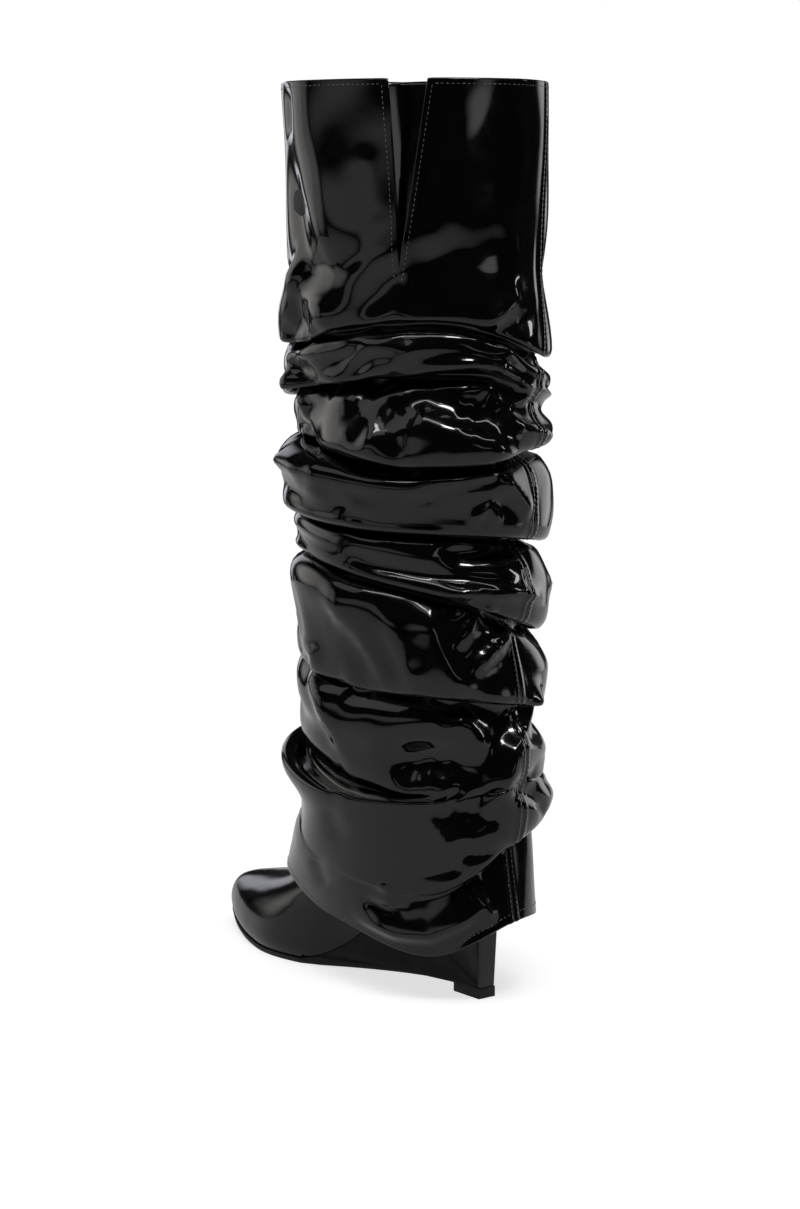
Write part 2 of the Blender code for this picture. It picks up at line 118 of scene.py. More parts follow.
# Last bottom: height of the seat line above the floor along the shoe
SEAT_LINE = (
    # y, height
    (0, 70),
    (20, 65),
    (40, 55.5),
    (60, 42.5),
    (80, 28),
    (100, 14),
    (115, 6.6),
    (128, 3),
)

# Feather line: half widths over the sine of the station, from the heel at 0 to the toe at 180
FEATHER = (
    # station, lateral, medial
    (0, 52, 52),
    (30, 45, 45),
    (45, 38, 38),
    (60, 30, 29),
    (75, 28.5, 23.5),
    (90, 38, 30),
    (105, 44, 37.5),
    (120, 42.5, 39.5),
    (135, 38.5, 39.5),
    (150, 34, 38),
    (165, 33, 37),
    (180, 33, 37),
)

# Rings of the foot upper, from the feather line to the ankle collar
UPPER_RINGS = (
    # back_y, back_z, front_y, front_z, ankle share, swell, sag
    (0, 70.3, 247, 11.8, 0.00, 0, 1.00),
    (-1.4, 76, 248.4, 17, 0.01, 2.2, 0.99),
    (-2.4, 83, 246.4, 24, 0.03, 2.6, 0.96),
    (-3, 90, 240.5, 29.8, 0.07, 1.8, 0.90),
    (-3.2, 96, 230, 33.8, 0.13, 0.8, 0.83),
    (-3.2, 101, 215, 37.2, 0.22, 0, 0.74),
    (-3, 106, 198, 41, 0.33, 0, 0.64),
    (-2.6, 111, 181, 46, 0.45, 0, 0.54),
    (-2, 116, 164, 54, 0.58, 0, 0.43),
    (-1, 122, 147, 67, 0.72, 0, 0.30),
    (0.5, 129, 133, 84, 0.84, 0, 0.18),
    (2.5, 138, 123, 104, 0.93, 0, 0.08),
    (5, 150, 116, 128, 1.00, 0, 0.00),
)
ANKLE_HALF_WIDTH = 35.0

# The sleeve's plain oval at each height, turned about the upright
SLEEVE_SECTIONS = (
    # height, centre_x, centre_y, half_length, half_width, turn in degrees
    (20, 3, 84, 97, 53, 2),
    (60, 3, 80, 92, 54, 4),
    (110, 3, 73, 83, 57, 7),
    (170, 2, 68, 75, 60, 10),
    (260, 0, 66, 75, 60, 16),
    (360, 0, 65, 76, 58, 24),
    (440, -1, 64, 77, 56, 30),
    (525, -1, 64, 77.5, 55, 36),
)
SLEEVE_FULLNESS = 2.15

# Heights of the hem and how far it flares, at every eighth of a turn from the back seam by way of the lateral side
EIGHTH = 45.0
HEM_LINE = (48, 28, 41, 57, 54, 57, 44, 44)
HEM_FLARE = (4, 0, -1, -3, -3, -2, 0, 3)
# Creases fade over this part of the last row, to this share at the hem itself
HEM_FADE, HEM_CREASE = 0.6, 0.15

# Folds from the top down. Each crease has its height, how far it tucks in and how far the lip over it
# stands proud, at every eighth of a turn; the lip lies lip_rise above it, the shoulder shoulder_drop below.
FOLDS = (
    # name, lip_rise, shoulder_drop, heights, tucks, lips, hang of the lip over the crease
    ("yoke", 9, 9,
     (372, 388, 388, 380, 384, 392, 381, 372),
     (4, 4, 4, 7, 8, 6, 6, 4),
     (9, 2, 1, 4, 4, 3, 3, 9),
     (1, 0, 0, 4, 5, 5, 4, 1)),
    ("upper_roll", 8, 9,
     (352, 362, 357, 355, 347, 357, 348, 343),
     (-4, 9, 10, 9, 8, 8, 6, -3),
     (9, 1, 1, 3, 4, 4, 3, 9),
     (1, 1, 2, 5, 5, 5, 4, 1)),
    ("knee_pinch", 9, 9,
     (316, 309, 310, 322, 322, 312, 306, 316),
     (9, 5, 5, 12, 13, 11, 9, 9),
     (11, 9, 5, -8, 2, 4, 3, 11),
     (1, 1, 1, 3, 5, 5, 4, 1)),
    ("big_roll", 8, 8,
     (267, 272, 275, 283, 285, 276, 268, 262),
     (10, 8, 6, 9, 11, 10, 9, 10),
     (13, 3, 3, 4, 6, 6, 5, 14),
     (2, 3, 4, 5, 5, 5, 4, 2)),
    ("middle_roll", 8, 9,
     (219, 236, 245, 254, 258, 246, 232, 209),
     (10, 7, 6, 9, 8, 9, 9, 11),
     (10, 3, 1, -5, 2, 4, 4, 11),
     (1, 2, 2, 3, 5, 5, 4, 1)),
    ("long_panel", 10, 18,
     (170, 178, 180, 190, 204, 198, 184, 165),
     (1, 6, 7, 6, 5, 7, 6, 1),
     (13, 4, -2, -3, 2, 4, 4, 13),
     (1, 1, 1, 1, 4, 5, 4, 1)),
    ("cup", 12, 6,
     (128, 119, 118, 130, 142, 138, 124, 126),
     (-4, -1, 7, 11, 8, 8, 5, -5),
     (12, 1.5, -3, -7, -4, -3, 2, 15),
     (1, 1, 5, 5, 5, 5, 4, 1)),
    ("skirt", 9, 8,
     (91, 62, 68, 88, 92, 86, 74, 97),
     (4, 1, -2.7, 5.5, 8, 5.5, 2, 2),
     (14, 3.5, 3.3, -7, -9, -5, 4, 15),
     (2, 2, 1, 1, 2, 2, 2, 2)),
)
CUP_RIM = (6, 3, 7, 6, 5, 5, 5, 7)

# How far the shoulder under a crease stands out of the oval, at every eighth, where it isn't a share of the tuck
SHOULDERS = {
    "yoke": (0, 2, 3, 1, -1, -1, -1, -0.5),
    "upper_roll": (0, -6, -6, -3, -2, -2, -1, 0),
    "knee_pinch": (0, 5, 5, 7, 5, 1, 0, 0),
    "middle_roll": (-5, -3.5, 2.5, 0, 0, 0, 0, 0),
}
SHOULDER_SHARE, SKIRT_SHOULDER = 0.2, 0.8
# How far the skin swells between two folds, and what share of its lip a fold has, at every eighth
BELLY_SWELL = (1.8, 0.8, 0.6, 0.4, 2, 2, 3, 4.5)
SKIRT_SWELL = (1.8, 0.8, -0.6, -4, -4, -3, 2, 4.5)
LIP_SHARE = (0.45, 0.8, 1, 1, 1, 1, 0.8, 0.45)
# What share of lip_rise and shoulder_drop the folds are drawn with
FOLD_TIGHTNESS = 0.7
# How far the plain rows above the folds lie below the rim; the notch ends at the last
RIM_ROWS = (0.0, 36.0, 72.0, 108.0)
ROWS_PER_FOLD = 5
LAST_ROW = len(RIM_ROWS) + ROWS_PER_FOLD * len(FOLDS)

# How a lip turns under: from what tuck and lip a fold is whole, from what hang its edge is right under, and the
# shares of rise, hang, lip and tuck at its edge, its tip, the slope of an open fold, its crease and the cup's brim
FULL_FOLD, FULL_HANG = 11.0, 4.0
UNDER_RISE, EDGE_HANG, CREASE_HANG = 0.4, 0.45, 0.35
TIP_LIP, TIP_TUCK, SLOPE_LIP, SLOPE_TUCK = 0.75, 0.1, 0.4, 0.6
BRIM_HANG, BRIM_TURN, BRIM_SHARE = 0.5, 0.8, 0.75

# The slow waver of a soft skin
RIPPLES = (
    # depth, waves in a turn, climb to a millimetre, start
    (0.5, 3.0, 0.031, 0.6),
    (0.35, 5.0, -0.052, 2.1),
    (0.25, 8.0, 0.083, 4.0),
)

# Creases on the sleeve's skin, each a soft ridge (proud above 0) or trough along a line of azimuth and height.
# left and right are its reach on either side, walking from its first point to its last.
CREASES = (
    # name, proud, left, right, line
    ("front_valley", -3, 8, 8, ((147, 522), (146, 508), (148, 496))),
    ("front_ridge", 4.5, 14, 34, ((148, 562), (137, 522), (128, 495), (118, 457), (110, 431), (105, 408))),
    ("front_hollow", -4, 12, 11, ((146, 478), (134, 442), (124, 418), (118, 406))),
    ("front_dent", -1.2, 5, 6, ((130, 462), (120, 437), (109, 414))),
    ("panel_ridge", 1.2, 9, 12, ((139, 560), (128, 520), (123, 498), (109, 459), (102, 426))),
    ("panel_ridge_back", 0.8, 6, 7, ((97, 487), (92, 464), (90, 448))),
    ("apex_furrow", -1.6, 7, 8, ((68, 434), (67, 414), (74, 400))),
    ("back_dent_low", -2, 12, 12, ((66, 430), (48, 428), (28, 438))),
    ("tunnel", 5, 7, 9, ((144, 415), (132, 413), (120, 405), (109, 395), (107, 385))),
    ("tunnel_hollow", -6, 8, 8, ((146, 380), (133, 388), (122, 386))),
    ("back_ridge_high", 3.5, 4, 6, ((38, 392), (30, 402), (22, 410))),
    ("back_fan_high", -3, 4, 5, ((8, 398), (21, 391), (40, 387))),
    ("upper_edge", 3, 16, 5, ((100, 379), (69, 374), (54, 373), (30, 367))),
    ("seam_fan_high", 4, 6, 5, ((32, 379), (13, 374), (-6, 367))),
    ("seam_fan_middle", 4, 4, 4, ((30, 369), (27, 363), (19, 358), (4, 352))),
    ("second_edge", 3.5, 5, 3, ((88, 346), (69, 352), (53, 354), (28, 354), (9, 350))),
    ("seam_fan_low", 4, 4, 3, ((33, 348), (19, 346), (3, 349))),
    ("seam_sweep", 5, 8, 3.5, ((26, 342), (12, 334), (-15, 325))),
    ("side_notch", -7, 5, 6, ((140, 366), (126, 361), (110, 351))),
    ("side_ridge", 4, 5, 5, ((145, 362), (137, 352), (131, 335))),
    ("slash_ridge", 9, 22, 6.5, ((77, 344), (48, 331), (18, 318))),
    ("slash_leg", 3, 8, 6, ((78, 342), (82, 332), (85, 320))),
    ("slash_furrow", -3, 7, 5, ((72, 328), (71, 319), (69, 310))),
    ("knee_diagonal", 3.5, 16, 7, ((107, 353), (92, 338), (79, 318))),
    ("knee_facet", 3, 3.5, 12, ((114, 325), (87, 318), (62, 308))),
    ("roll_corner", 5, 8, 4, ((143, 314), (125, 311), (114, 307))),
    ("roll_edge", 4, 5, 3, ((62, 305), (45, 306), (22, 308))),
    ("roll_block", 3, 12, 8, ((111, 313), (108, 300), (107, 286))),
    ("roll_streak", -2.5, 3.5, 4.5, ((66, 288), (53, 295), (34, 301), (22, 304))),
    ("roll_facet", 5, 4, 9, ((24, 304), (13, 293), (3, 284))),
    ("roll_dart", 3, 3, 3.5, ((37, 281), (29, 288), (22, 280))),
    ("pocket", -7, 7, 7, ((49, 262), (24, 261), (-6, 261))),
    ("middle_streak", -4, 3.5, 4, ((88, 254), (67, 252), (44, 249), (10, 244))),
    ("middle_ridge", 5, 3, 6, ((46, 241), (27, 241), (5, 238), (-10, 233))),
    ("under_ridge", 4, 4, 4, ((41, 229), (30, 230), (18, 229))),
    ("under_facet", 4, 5, 8, ((22, 229), (30, 219), (37, 210))),
    ("panel_fold_front", 4, 4, 12, ((101, 233), (83, 212), (68, 189))),
    ("panel_fold_middle", 4, 5, 9, ((73, 228), (65, 212), (53, 187))),
    ("panel_fold_back", 6, 16, 6, ((53, 232), (48, 218), (39, 199), (27, 183))),
    ("back_slash", 6, 5, 4, ((28, 197), (15, 206), (0, 215))),
    ("side_pinch", 2.5, 4, 4, ((128, 204), (110, 198), (116, 191))),
    ("side_furrow", 5, 5, 12, ((122, 189), (106, 171), (97, 155), (91, 142))),
    ("tier_edge", 4, 14, 6, ((34, 171), (27, 163), (17, 150))),
    ("hollow", -9, 10, 12, ((62, 133), (56, 140), (44, 143), (22, 142))),
    ("flap_edge", 9, 6, 12, ((-16, 178), (-9, 165), (4, 149), (10, 133), (16, 116))),
    ("flap_hollow", -4, 4, 5, ((6, 126), (-10, 117), (-23, 106))),
    ("skirt_eye_high", -1.2, 4, 4, ((30, 111), (22, 109), (12, 110))),
    ("skirt_arc", 1.4, 4, 6, ((47, 112), (44, 98), (38, 93), (20, 99))),
    ("skirt_eye_low", -2.2, 4, 4, ((36, 91), (21, 89), (4, 92))),
    ("skirt_streak", -2, 4, 4, ((55, 75), (41, 79), (30, 82))),
    ("skirt_facet", 3, 6, 6, ((26, 69), (18, 60), (12, 48))),
    ("skirt_dent", -1.4, 6, 7, ((93, 110), (91, 100), (87, 90))),
    ("skirt_dent_low", -1.6, 6, 7, ((101, 74), (97, 66), (94, 58))),
    ("skirt_curl", 1.8, 4, 6, ((68, 68), (64, 61), (66, 53))),
    ("hem_streak", -2.4, 3.5, 4, ((77, 56), (64, 52), (58, 56))),
    ("hem_roll", 6, 5, 11, ((76, 44), (60, 39), (45, 40), (30, 49), (18, 58))),
    ("inner_slash", 4, 5, 6, ((318, 352), (296, 345), (270, 340), (252, 332))),
    ("inner_fold", 3, 6, 5, ((330, 240), (312, 228), (290, 214))),
    ("inner_panel", 2.5, 7, 5, ((282, 236), (262, 220), (240, 206))),
    ("inner_dent", -4, 6, 7, ((300, 152), (282, 148), (262, 152))),
    ("inner_front", 3, 6, 6, ((232, 175), (216, 160), (204, 146))),
    ("inner_skirt", 2, 5, 6, ((310, 78), (290, 84), (268, 88))),
    ("inner_yoke", 2, 9, 8, ((215, 500), (222, 460), (236, 414))),
    ("front_yoke", -2, 9, 9, ((185, 515), (184, 470), (178, 425))),
    ("front_slash", 4, 5, 5, ((205, 300), (188, 306), (168, 300))),
    ("front_panel", 2.5, 6, 5, ((190, 245), (176, 232), (160, 214))),
)

# Wide creases are round at their line, narrow ones are sharp; all fade over a share of their length at each end
WIDE_CREASE, SOFT_CREASE, SHARP_CREASE = 7.0, 2.0, 1.6
CREASE_TAPER, CREASE_END = 0.35, 0.35

# How the skin settles: first every few threads, then all of them
SETTLE_SLACK, SETTLE_TRUE, SETTLE_WAVES = 0.04, 0.1, 5
SETTLE_TOP, SETTLE_TOP_RAMP, SETTLE_LOW, SETTLE_LOW_RAMP = 440.0, 45.0, 105.0, 30.0
THREAD_PULL, CROSS_PULL = 0.5, 0.3
COARSE_SKIP, COARSE_ROUNDS, COARSE_REACH, COARSE_STIFFNESS = 3, 160, 3.0, 0.1
FINE_ROUNDS, FINE_REACH, FINE_STIFFNESS = 50, 1.2, 0.3
EASE_ROUNDS, SEAM_EASE_ROUNDS, EASE_SHARE, SEAM_CALM = 3, 14, 0.25, 16.0

# Stitching
STITCH_PITCH, STITCH_LENGTH, STITCH_RADIUS = 3.0, 2.1, 0.24
STITCH_AHEAD, STITCH_LEAST, STITCH_LIFT = 0.4, 0.01, 0.3
EDGE_STITCH_INSET = 2.4
SEAM_STITCH_OFFSET = 1.9
STITCH_MARGIN = 2.0
NOTCH_STITCH_PAST, SEAM_STITCH_SHORT, HEM_STITCH_ROW = 0.1, 0.1, 0.22
BINDING_RADIUS = 0.95

# How finely the pieces are drawn
SLEEVE_COLUMNS = 306
SEAM_CROWDING = 0.45
RIM_DIVISIONS, FOLD_DIVISIONS, HEM_DIVISIONS = 10, 6, 9
LINING_GRID, GUSSET_GRID, UPPER_GRID, INSOLE_GRID = (180, 60), (24, 48), (220, 96), (28, 110)
OUTSOLE_STATIONS = 150
WEDGE_LEVELS, WEDGE_STEPS, WEDGE_CROWDING, CORNER_STEPS = 36, 70, 0.9, 7
TUBE_SIDES, RIM_STEPS, NOTCH_STEPS, HEM_STEPS = 8, 220, 46, 300
RIM_STITCH_STEPS, NOTCH_STITCH_STEPS, SEAM_STITCH_STEPS, HEM_STITCH_STEPS = 400, 120, 1500, 600
FINE_STEPS = 2001
# Faces this near the notch are cut by its edges; the skin's directions are read over this much of it
CUT_ROWS, CUT_DEGREES, CUT_SNAP = 0.3, 20.0, 0.0001
FRAME_DEGREES, FRAME_ROWS = 0.6, 0.1
MERGE = 0.00001

# The camera of the picture, in the shoe's own frame
CAMERA_TURN, CAMERA_PITCH = 52.0, 7.72
CAMERA_AWAY, CAMERA_SIDE, CAMERA_HEIGHT = 1543.7, -48.9, 440.0
FOCAL_PIXELS, PICTURE_HEIGHT, SENSOR = 2732.0, 1209.0, 36.0

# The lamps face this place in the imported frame. Azimuths are turned from the camera's side, to the left in the
# picture; glow is beside the white of the backdrop, and mirrored is whether the boot's gloss shows the lamp.
LAMP_AIM = (0.0, 0.0, 0.27)
LAMPS = (
    # name, azimuth, elevation, away, size, glow, mirrored
    ("floor_fill", 0.0, 86.0, 2.2, (2.4, 2.4), 3.3, False),
    ("front_panel", 8.0, 64.0, 1.7, (1.1, 0.5), 0.8, True),
    ("left_panel", 72.0, 50.0, 1.7, (0.9, 0.6), 0.6, True),
    ("key", -28.0, 60.0, 1.6, (0.34, 0.2), 22.0, True),
    ("key_strip", 14.0, 64.0, 1.6, (1.1, 0.07), 10.0, True),
    ("right_key_strip", -52.0, 60.0, 1.6, (1.5, 0.06), 7.0, True),
    ("right_strip", -88.0, 24.0, 1.5, (0.1, 0.4), 8.0, True),
)

# Pale screens that only the boot's gloss sees; each fades to nothing from this share of its reach outwards
SCREEN_CORE = 0.45
SCREENS = (
    # name, azimuth, elevation, away, size, glow, tint
    ("side_screen", 48.0, 7.0, 1.8, (2.4, 0.6), 0.45, WHITE),
    ("front_screen", 88.0, 10.0, 1.6, (0.9, 1.2), 0.7, WHITE),
    ("left_screen", 112.0, 16.0, 1.5, (1.8, 1.7), 1.0, (1.0, 0.98, 0.94)),
    ("left_rim", 155.0, 14.0, 1.4, (0.5, 1.5), 1.0, (0.9, 0.91, 1.0)),
    ("leaf_window", -32.0, 14.3, 2.2, (1.2, 0.2), 1.1, WHITE),
    ("right_window", -80.0, -5.0, 1.5, (0.45, 0.6), 0.9, WHITE),
    ("right_screen", -132.0, 8.0, 1.5, (1.0, 1.6), 1.1, WHITE),
)

# The floor in metres: white to the camera beyond FLOOR_WHITE, and to the boot's gloss dim, ending over FLOOR_MIRRORED
FLOOR_REACH = 6.0
FLOOR_WHITE = (0.2, 0.7)
FLOOR_MIRRORED, FLOOR_SHARE, FLOOR_PALE, FLOOR_GLOW = (1.5, 4.5), 0.4, 0.45, 0.7
ROOM_TINT, ROOM_GLOW = (0.9, 0.92, 1.0), 0.015

lift_low, lift_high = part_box("top_lift")
HOME = Vector(((lift_low.x + lift_high.x) / 2.0 - BLADE_MIDDLE * MM, lift_low.y - HEEL_BACK * MM, 0.0))


def row_place(points):
    """Points of the shoe's own frame, in millimetres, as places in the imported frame."""
    return np.asarray(points, float) * MM + np.array(HOME)


def gentle(share):
    """A share from 0 to 1 that starts and ends softly."""
    return share * share * (3.0 - 2.0 * share)


def cubic(before, start, end, after, t):
    """The way from start to end at t, bent to suit the values before and after them."""
    bend = 2.0 * start + (end - before) * t + (2.0 * before - 5.0 * start + 4.0 * end - after) * t * t
    return 0.5 * (bend + (3.0 * start - before - 3.0 * end + after) * t ** 3)


def signed_turn(degrees):
    """An angle as degrees between half a turn back and half a turn on."""
    return np.mod(degrees + HALF_TURN, TURN) - HALF_TURN


def smooth_curve(knots, values, at):
    """A cubic through the knots, with slopes taken from their neighbours."""
    knots, values, at = (np.asarray(part, float) for part in (knots, values, at))
    slopes = np.gradient(values, knots)
    place = np.clip(np.searchsorted(knots, at, side="right") - 1, 0, len(knots) - 2)
    span = knots[place + 1] - knots[place]
    t = np.clip((at - knots[place]) / span, 0.0, 1.0)
    ease = gentle(t)
    first = slopes[place] * span * t * (1.0 - t) ** 2
    last = slopes[place + 1] * span * t * t * (t - 1.0)
    return values[place] * (1.0 - ease) + values[place + 1] * ease + first + last


def column(table, number, at):
    """One column of a table, read along its first column."""
    rows = np.array(table, float)
    return smooth_curve(rows[:, 0], rows[:, number], at)


def around(eighths, azimuth):
    """Values given at every eighth of a turn, read at any azimuth in degrees."""
    places = np.arange(-2, len(eighths) + 3)
    values = np.take(np.asarray(eighths, float), places, mode="wrap")
    return smooth_curve(places * EIGHTH, values, np.mod(azimuth, TURN))


def station_y(station):
    """Where a station lies along the shoe."""
    return SHOE_LENGTH * (1.0 - np.cos(np.radians(station))) / 2.0


def station_at(y):
    """The station at a place along the shoe."""
    return np.degrees(np.arccos(np.clip(1.0 - 2.0 * np.asarray(y, float) / SHOE_LENGTH, -1.0, 1.0)))


def heel_share(y):
    """How far the sole has risen towards the lift, from 0 at the ball to 1."""
    return np.clip((TREAD_REAR - y) / (TREAD_REAR - LIFT_LENGTH), 0.0, 1.0)


def tread_height(y):
    """Underside of the sole: flat at the ball, sprung at the toe, raised to the lift at the heel."""
    toe = np.clip((y - TREAD_FRONT) / (SHOE_LENGTH - TREAD_FRONT), 0.0, 1.0)
    return TOE_SPRING * toe ** TOE_CURVE + HEEL_RISE * heel_share(y)


def outsole_top(y):
    """Top of the outsole, which thins towards the lift."""
    heel = heel_share(y)
    return tread_height(y) + OUTSOLE_THICKNESS * (1.0 - heel) + (LIFT_HEIGHT - HEEL_RISE) * heel


def seat_height(y):
    """Top of the sole: the wedge's seat behind the ball, the outsole's top in front of it."""
    front = outsole_top(y)
    behind = column(SEAT_LINE, 1, np.minimum(y, WEDGE_FRONT))
    return np.where(y < WEDGE_FRONT, np.maximum(front, behind), front)


def feather(station, side):
    """Half width of the last's edge; side is 1 for lateral and 2 for medial."""
    return column(FEATHER, side, station) * np.sin(np.radians(station))


def keel(y, side):
    """Half width of the sole's edge: the feather line at the ball, drawn in to the blade behind it."""
    full = feather(station_at(np.maximum(y, WEDGE_FRONT)), side) + OUTSOLE_LIP
    share = np.clip((y - BLADE_LENGTH) / (WEDGE_FRONT - BLADE_LENGTH), 0.0, 1.0) ** KEEL_CURVE
    blade = BLADE_HALF_WIDTH + (BLADE_MIDDLE if side == 2 else -BLADE_MIDDLE)
    return blade + (full - blade) * share


def mesh_data(name, mesh):
    """A bmesh made into mesh data, and freed."""
    data = bpy.data.meshes.new(name)
    mesh.to_mesh(data)
    mesh.free()
    return data


def linked(name, data):
    """A new object in the scene."""
    thing = bpy.data.objects.new(name, data)
    bpy.context.scene.collection.objects.link(thing)
    return thing


def finished(name, mesh, material, node=None, smooth=40.0):
    """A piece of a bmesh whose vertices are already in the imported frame; it rides on the boot's one body."""
    data = mesh_data(name, mesh)
    data.shade_smooth()
    data.set_sharp_from_angle(angle=math.radians(smooth))
    data.materials.append(material)
    piece = linked(name, data)
    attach(piece, "root")
    if node:
        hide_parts(node)
    return piece


def flat_grid(across, down):
    """A flat grid that runs over 0 to 1 along X and Y."""
    mesh = bmesh.new()
    bmesh.ops.create_grid(mesh, x_segments=across, y_segments=down, size=0.5)
    bmesh.ops.translate(mesh, verts=mesh.verts, vec=(0.5, 0.5, 0.0))
    return mesh


def flat_places(mesh):
    """The two flat coordinates of every vertex."""
    places = np.array([vertex.co[:2] for vertex in mesh.verts])
    return places[:, 0], places[:, 1]


def shape_to(mesh, points):
    """Moves the vertices to points of the shoe's own frame and closes seams that meet."""
    for vertex, place in zip(mesh.verts, row_place(points)):
        vertex.co = place
    bmesh.ops.remove_doubles(mesh, verts=mesh.verts, dist=MERGE)
    bmesh.ops.recalc_face_normals(mesh, faces=mesh.faces)


def close_ends(mesh):
    """Fills the open ends of a shell."""
    bmesh.ops.holes_fill(mesh, edges=[edge for edge in mesh.edges if edge.is_boundary], sides=0)
    bmesh.ops.recalc_face_normals(mesh, faces=mesh.faces)


def add_wall(piece, thickness):
    """Gives a skin its thickness, on the inside."""
    wall = piece.modifiers.new("wall", "SOLIDIFY")
    wall.thickness = thickness * MM
    wall.offset = -1.0


# The sleeve's skin

def sleeve_controls(azimuth):
    """Rows that the sleeve's skin runs through from the rim to the hem: height, offset from the plain oval, and
    plain height, which keeps falling where the skin turns back up under a lip."""
    rows = [(SLEEVE_HEIGHT - fall, 0.0, SLEEVE_HEIGHT - fall) for fall in RIM_ROWS]
    lip_share, swell = around(LIP_SHARE, azimuth), around(BELLY_SWELL, azimuth)
    read = [(name, rise * FOLD_TIGHTNESS, drop * FOLD_TIGHTNESS, around(heights, azimuth), around(tucks, azimuth),
             around(lips, azimuth) * lip_share, around(hangs, azimuth))
            for name, rise, drop, heights, tucks, lips, hangs in FOLDS]
    for number, (name, rise, drop, crease, tuck, lip, hang) in enumerate(read):
        fold = gentle(np.clip((tuck + lip) / FULL_FOLD, 0.0, 1.0))
        under = crease + UNDER_RISE * rise
        rows.append((crease + rise, lip, crease + rise))
        if name == "cup":
            shoulder = around(CUP_RIM, azimuth)
            rows.append((crease - BRIM_HANG * hang * fold, -tuck, under))
            rows.append((crease + BRIM_TURN * hang * fold, BRIM_SHARE * shoulder, crease))
        else:
            over = fold * np.clip(hang / FULL_HANG, 0.0, 1.0)
            edge = under * (1.0 - over) + (crease - EDGE_HANG * hang) * over
            tip, slope = TIP_LIP * lip - TIP_TUCK * tuck, SLOPE_LIP * lip - SLOPE_TUCK * tuck
            rows.append((edge, tip * over + slope * (1.0 - over), under))
            rows.append((crease + CREASE_HANG * hang * fold, -tuck, crease))
            share = SKIRT_SHOULDER if name == "skirt" else SHOULDER_SHARE
            shoulder = around(SHOULDERS[name], azimuth) if name in SHOULDERS else -share * tuck
        rows.append((crease - drop, shoulder, crease - drop))
        if number + 1 < len(read):
            _, next_rise, _, next_crease, _, next_lip, _ = read[number + 1]
            middle = (crease - drop + next_crease + next_rise) / 2.0
            out = around(SKIRT_SWELL, azimuth) if name == "cup" else swell
            rows.append((middle, (shoulder + next_lip) / 2.0 + out, middle))
    hem, flare = around(HEM_LINE, azimuth), around(HEM_FLARE, azimuth)
    middle = (rows[-1][0] + hem) / 2.0
    rows.append((middle, (rows[-1][1] + flare) / 2.0, middle))
    rows.append((hem, flare, hem))
    return np.array([[np.broadcast_to(part, np.shape(azimuth)) for part in row] for row in rows], float)


def row_divisions():
    """How many strips of faces lie between each two of the sleeve's rows."""
    folds = [FOLD_DIVISIONS, FOLD_DIVISIONS + 1, FOLD_DIVISIONS + 1, FOLD_DIVISIONS, FOLD_DIVISIONS]
    top = [RIM_DIVISIONS] * (len(RIM_ROWS) - 1) + [FOLD_DIVISIONS]
    return top + (folds * len(FOLDS))[1:-1] + [HEM_DIVISIONS, HEM_DIVISIONS]


def crease_relief(azimuth, height):
    """How far the listed creases stand out of the skin."""
    relief = np.zeros_like(azimuth)
    for _, proud, left, right, line in CREASES:
        middle = line[len(line) // 2][0]
        across, up = (signed_turn(azimuth - middle) + middle) * ARC, height
        spans = [((a[0] * ARC, a[1]), (b[0] * ARC, b[1])) for a, b in zip(line[:-1], line[1:])]
        length = sum(math.dist(a, b) for a, b in spans)
        nearest = np.full_like(azimuth, np.inf)
        side, along = np.zeros_like(azimuth), np.zeros_like(azimuth)
        walked = 0.0
        for number, ((x0, y0), (x1, y1)) in enumerate(spans):
            step = math.dist((x0, y0), (x1, y1))
            dx, dy = (x1 - x0) / step, (y1 - y0) / step
            low = -step if number == 0 else 0.0
            high = 2.0 * step if number == len(spans) - 1 else step
            t = np.clip((across - x0) * dx + (up - y0) * dy, low, high)
            gap = np.hypot(across - x0 - t * dx, up - y0 - t * dy)
            closer = gap < nearest
            nearest = np.where(closer, gap, nearest)
            side = np.where(closer, dx * (up - y0) - dy * (across - x0), side)
            along = np.where(closer, walked + t, along)
            walked += step
        reach = np.where(side > 0.0, left, right)
        fade = gentle(np.clip(np.minimum(along, length - along) / (CREASE_TAPER * length) + CREASE_END, 0.0, 1.0))
        power = SOFT_CREASE if min(left, right) >= WIDE_CREASE else SHARP_CREASE
        relief += proud * fade * np.exp(-(nearest / reach) ** power)
    return relief


def ripple(azimuth, height):
    """How far the skin's slow waver moves it, so that no panel is a perfect oval."""
    turn = np.radians(azimuth)
    return sum(depth * np.sin(waves * turn + climb * height + start) for depth, waves, climb, start in RIPPLES)


def sleeve_oval(azimuth, height, offset):
    """A point of the sleeve: offset stands out from the oval at that height and azimuth."""
    cx, cy, length, width, turn = (column(SLEEVE_SECTIONS, k, height) for k in range(1, 6))
    angle, turn = np.radians(azimuth), np.radians(turn)
    power = 2.0 / SLEEVE_FULLNESS
    back = -(length + offset) * np.sign(np.cos(angle)) * np.abs(np.cos(angle)) ** power
    out = -(width + offset) * np.sign(np.sin(angle)) * np.abs(np.sin(angle)) ** power
    x = cx + out * np.cos(turn) - back * np.sin(turn)
    y = cy + out * np.sin(turn) + back * np.cos(turn)
    return np.stack(np.broadcast_arrays(x, y, height), axis=-1)


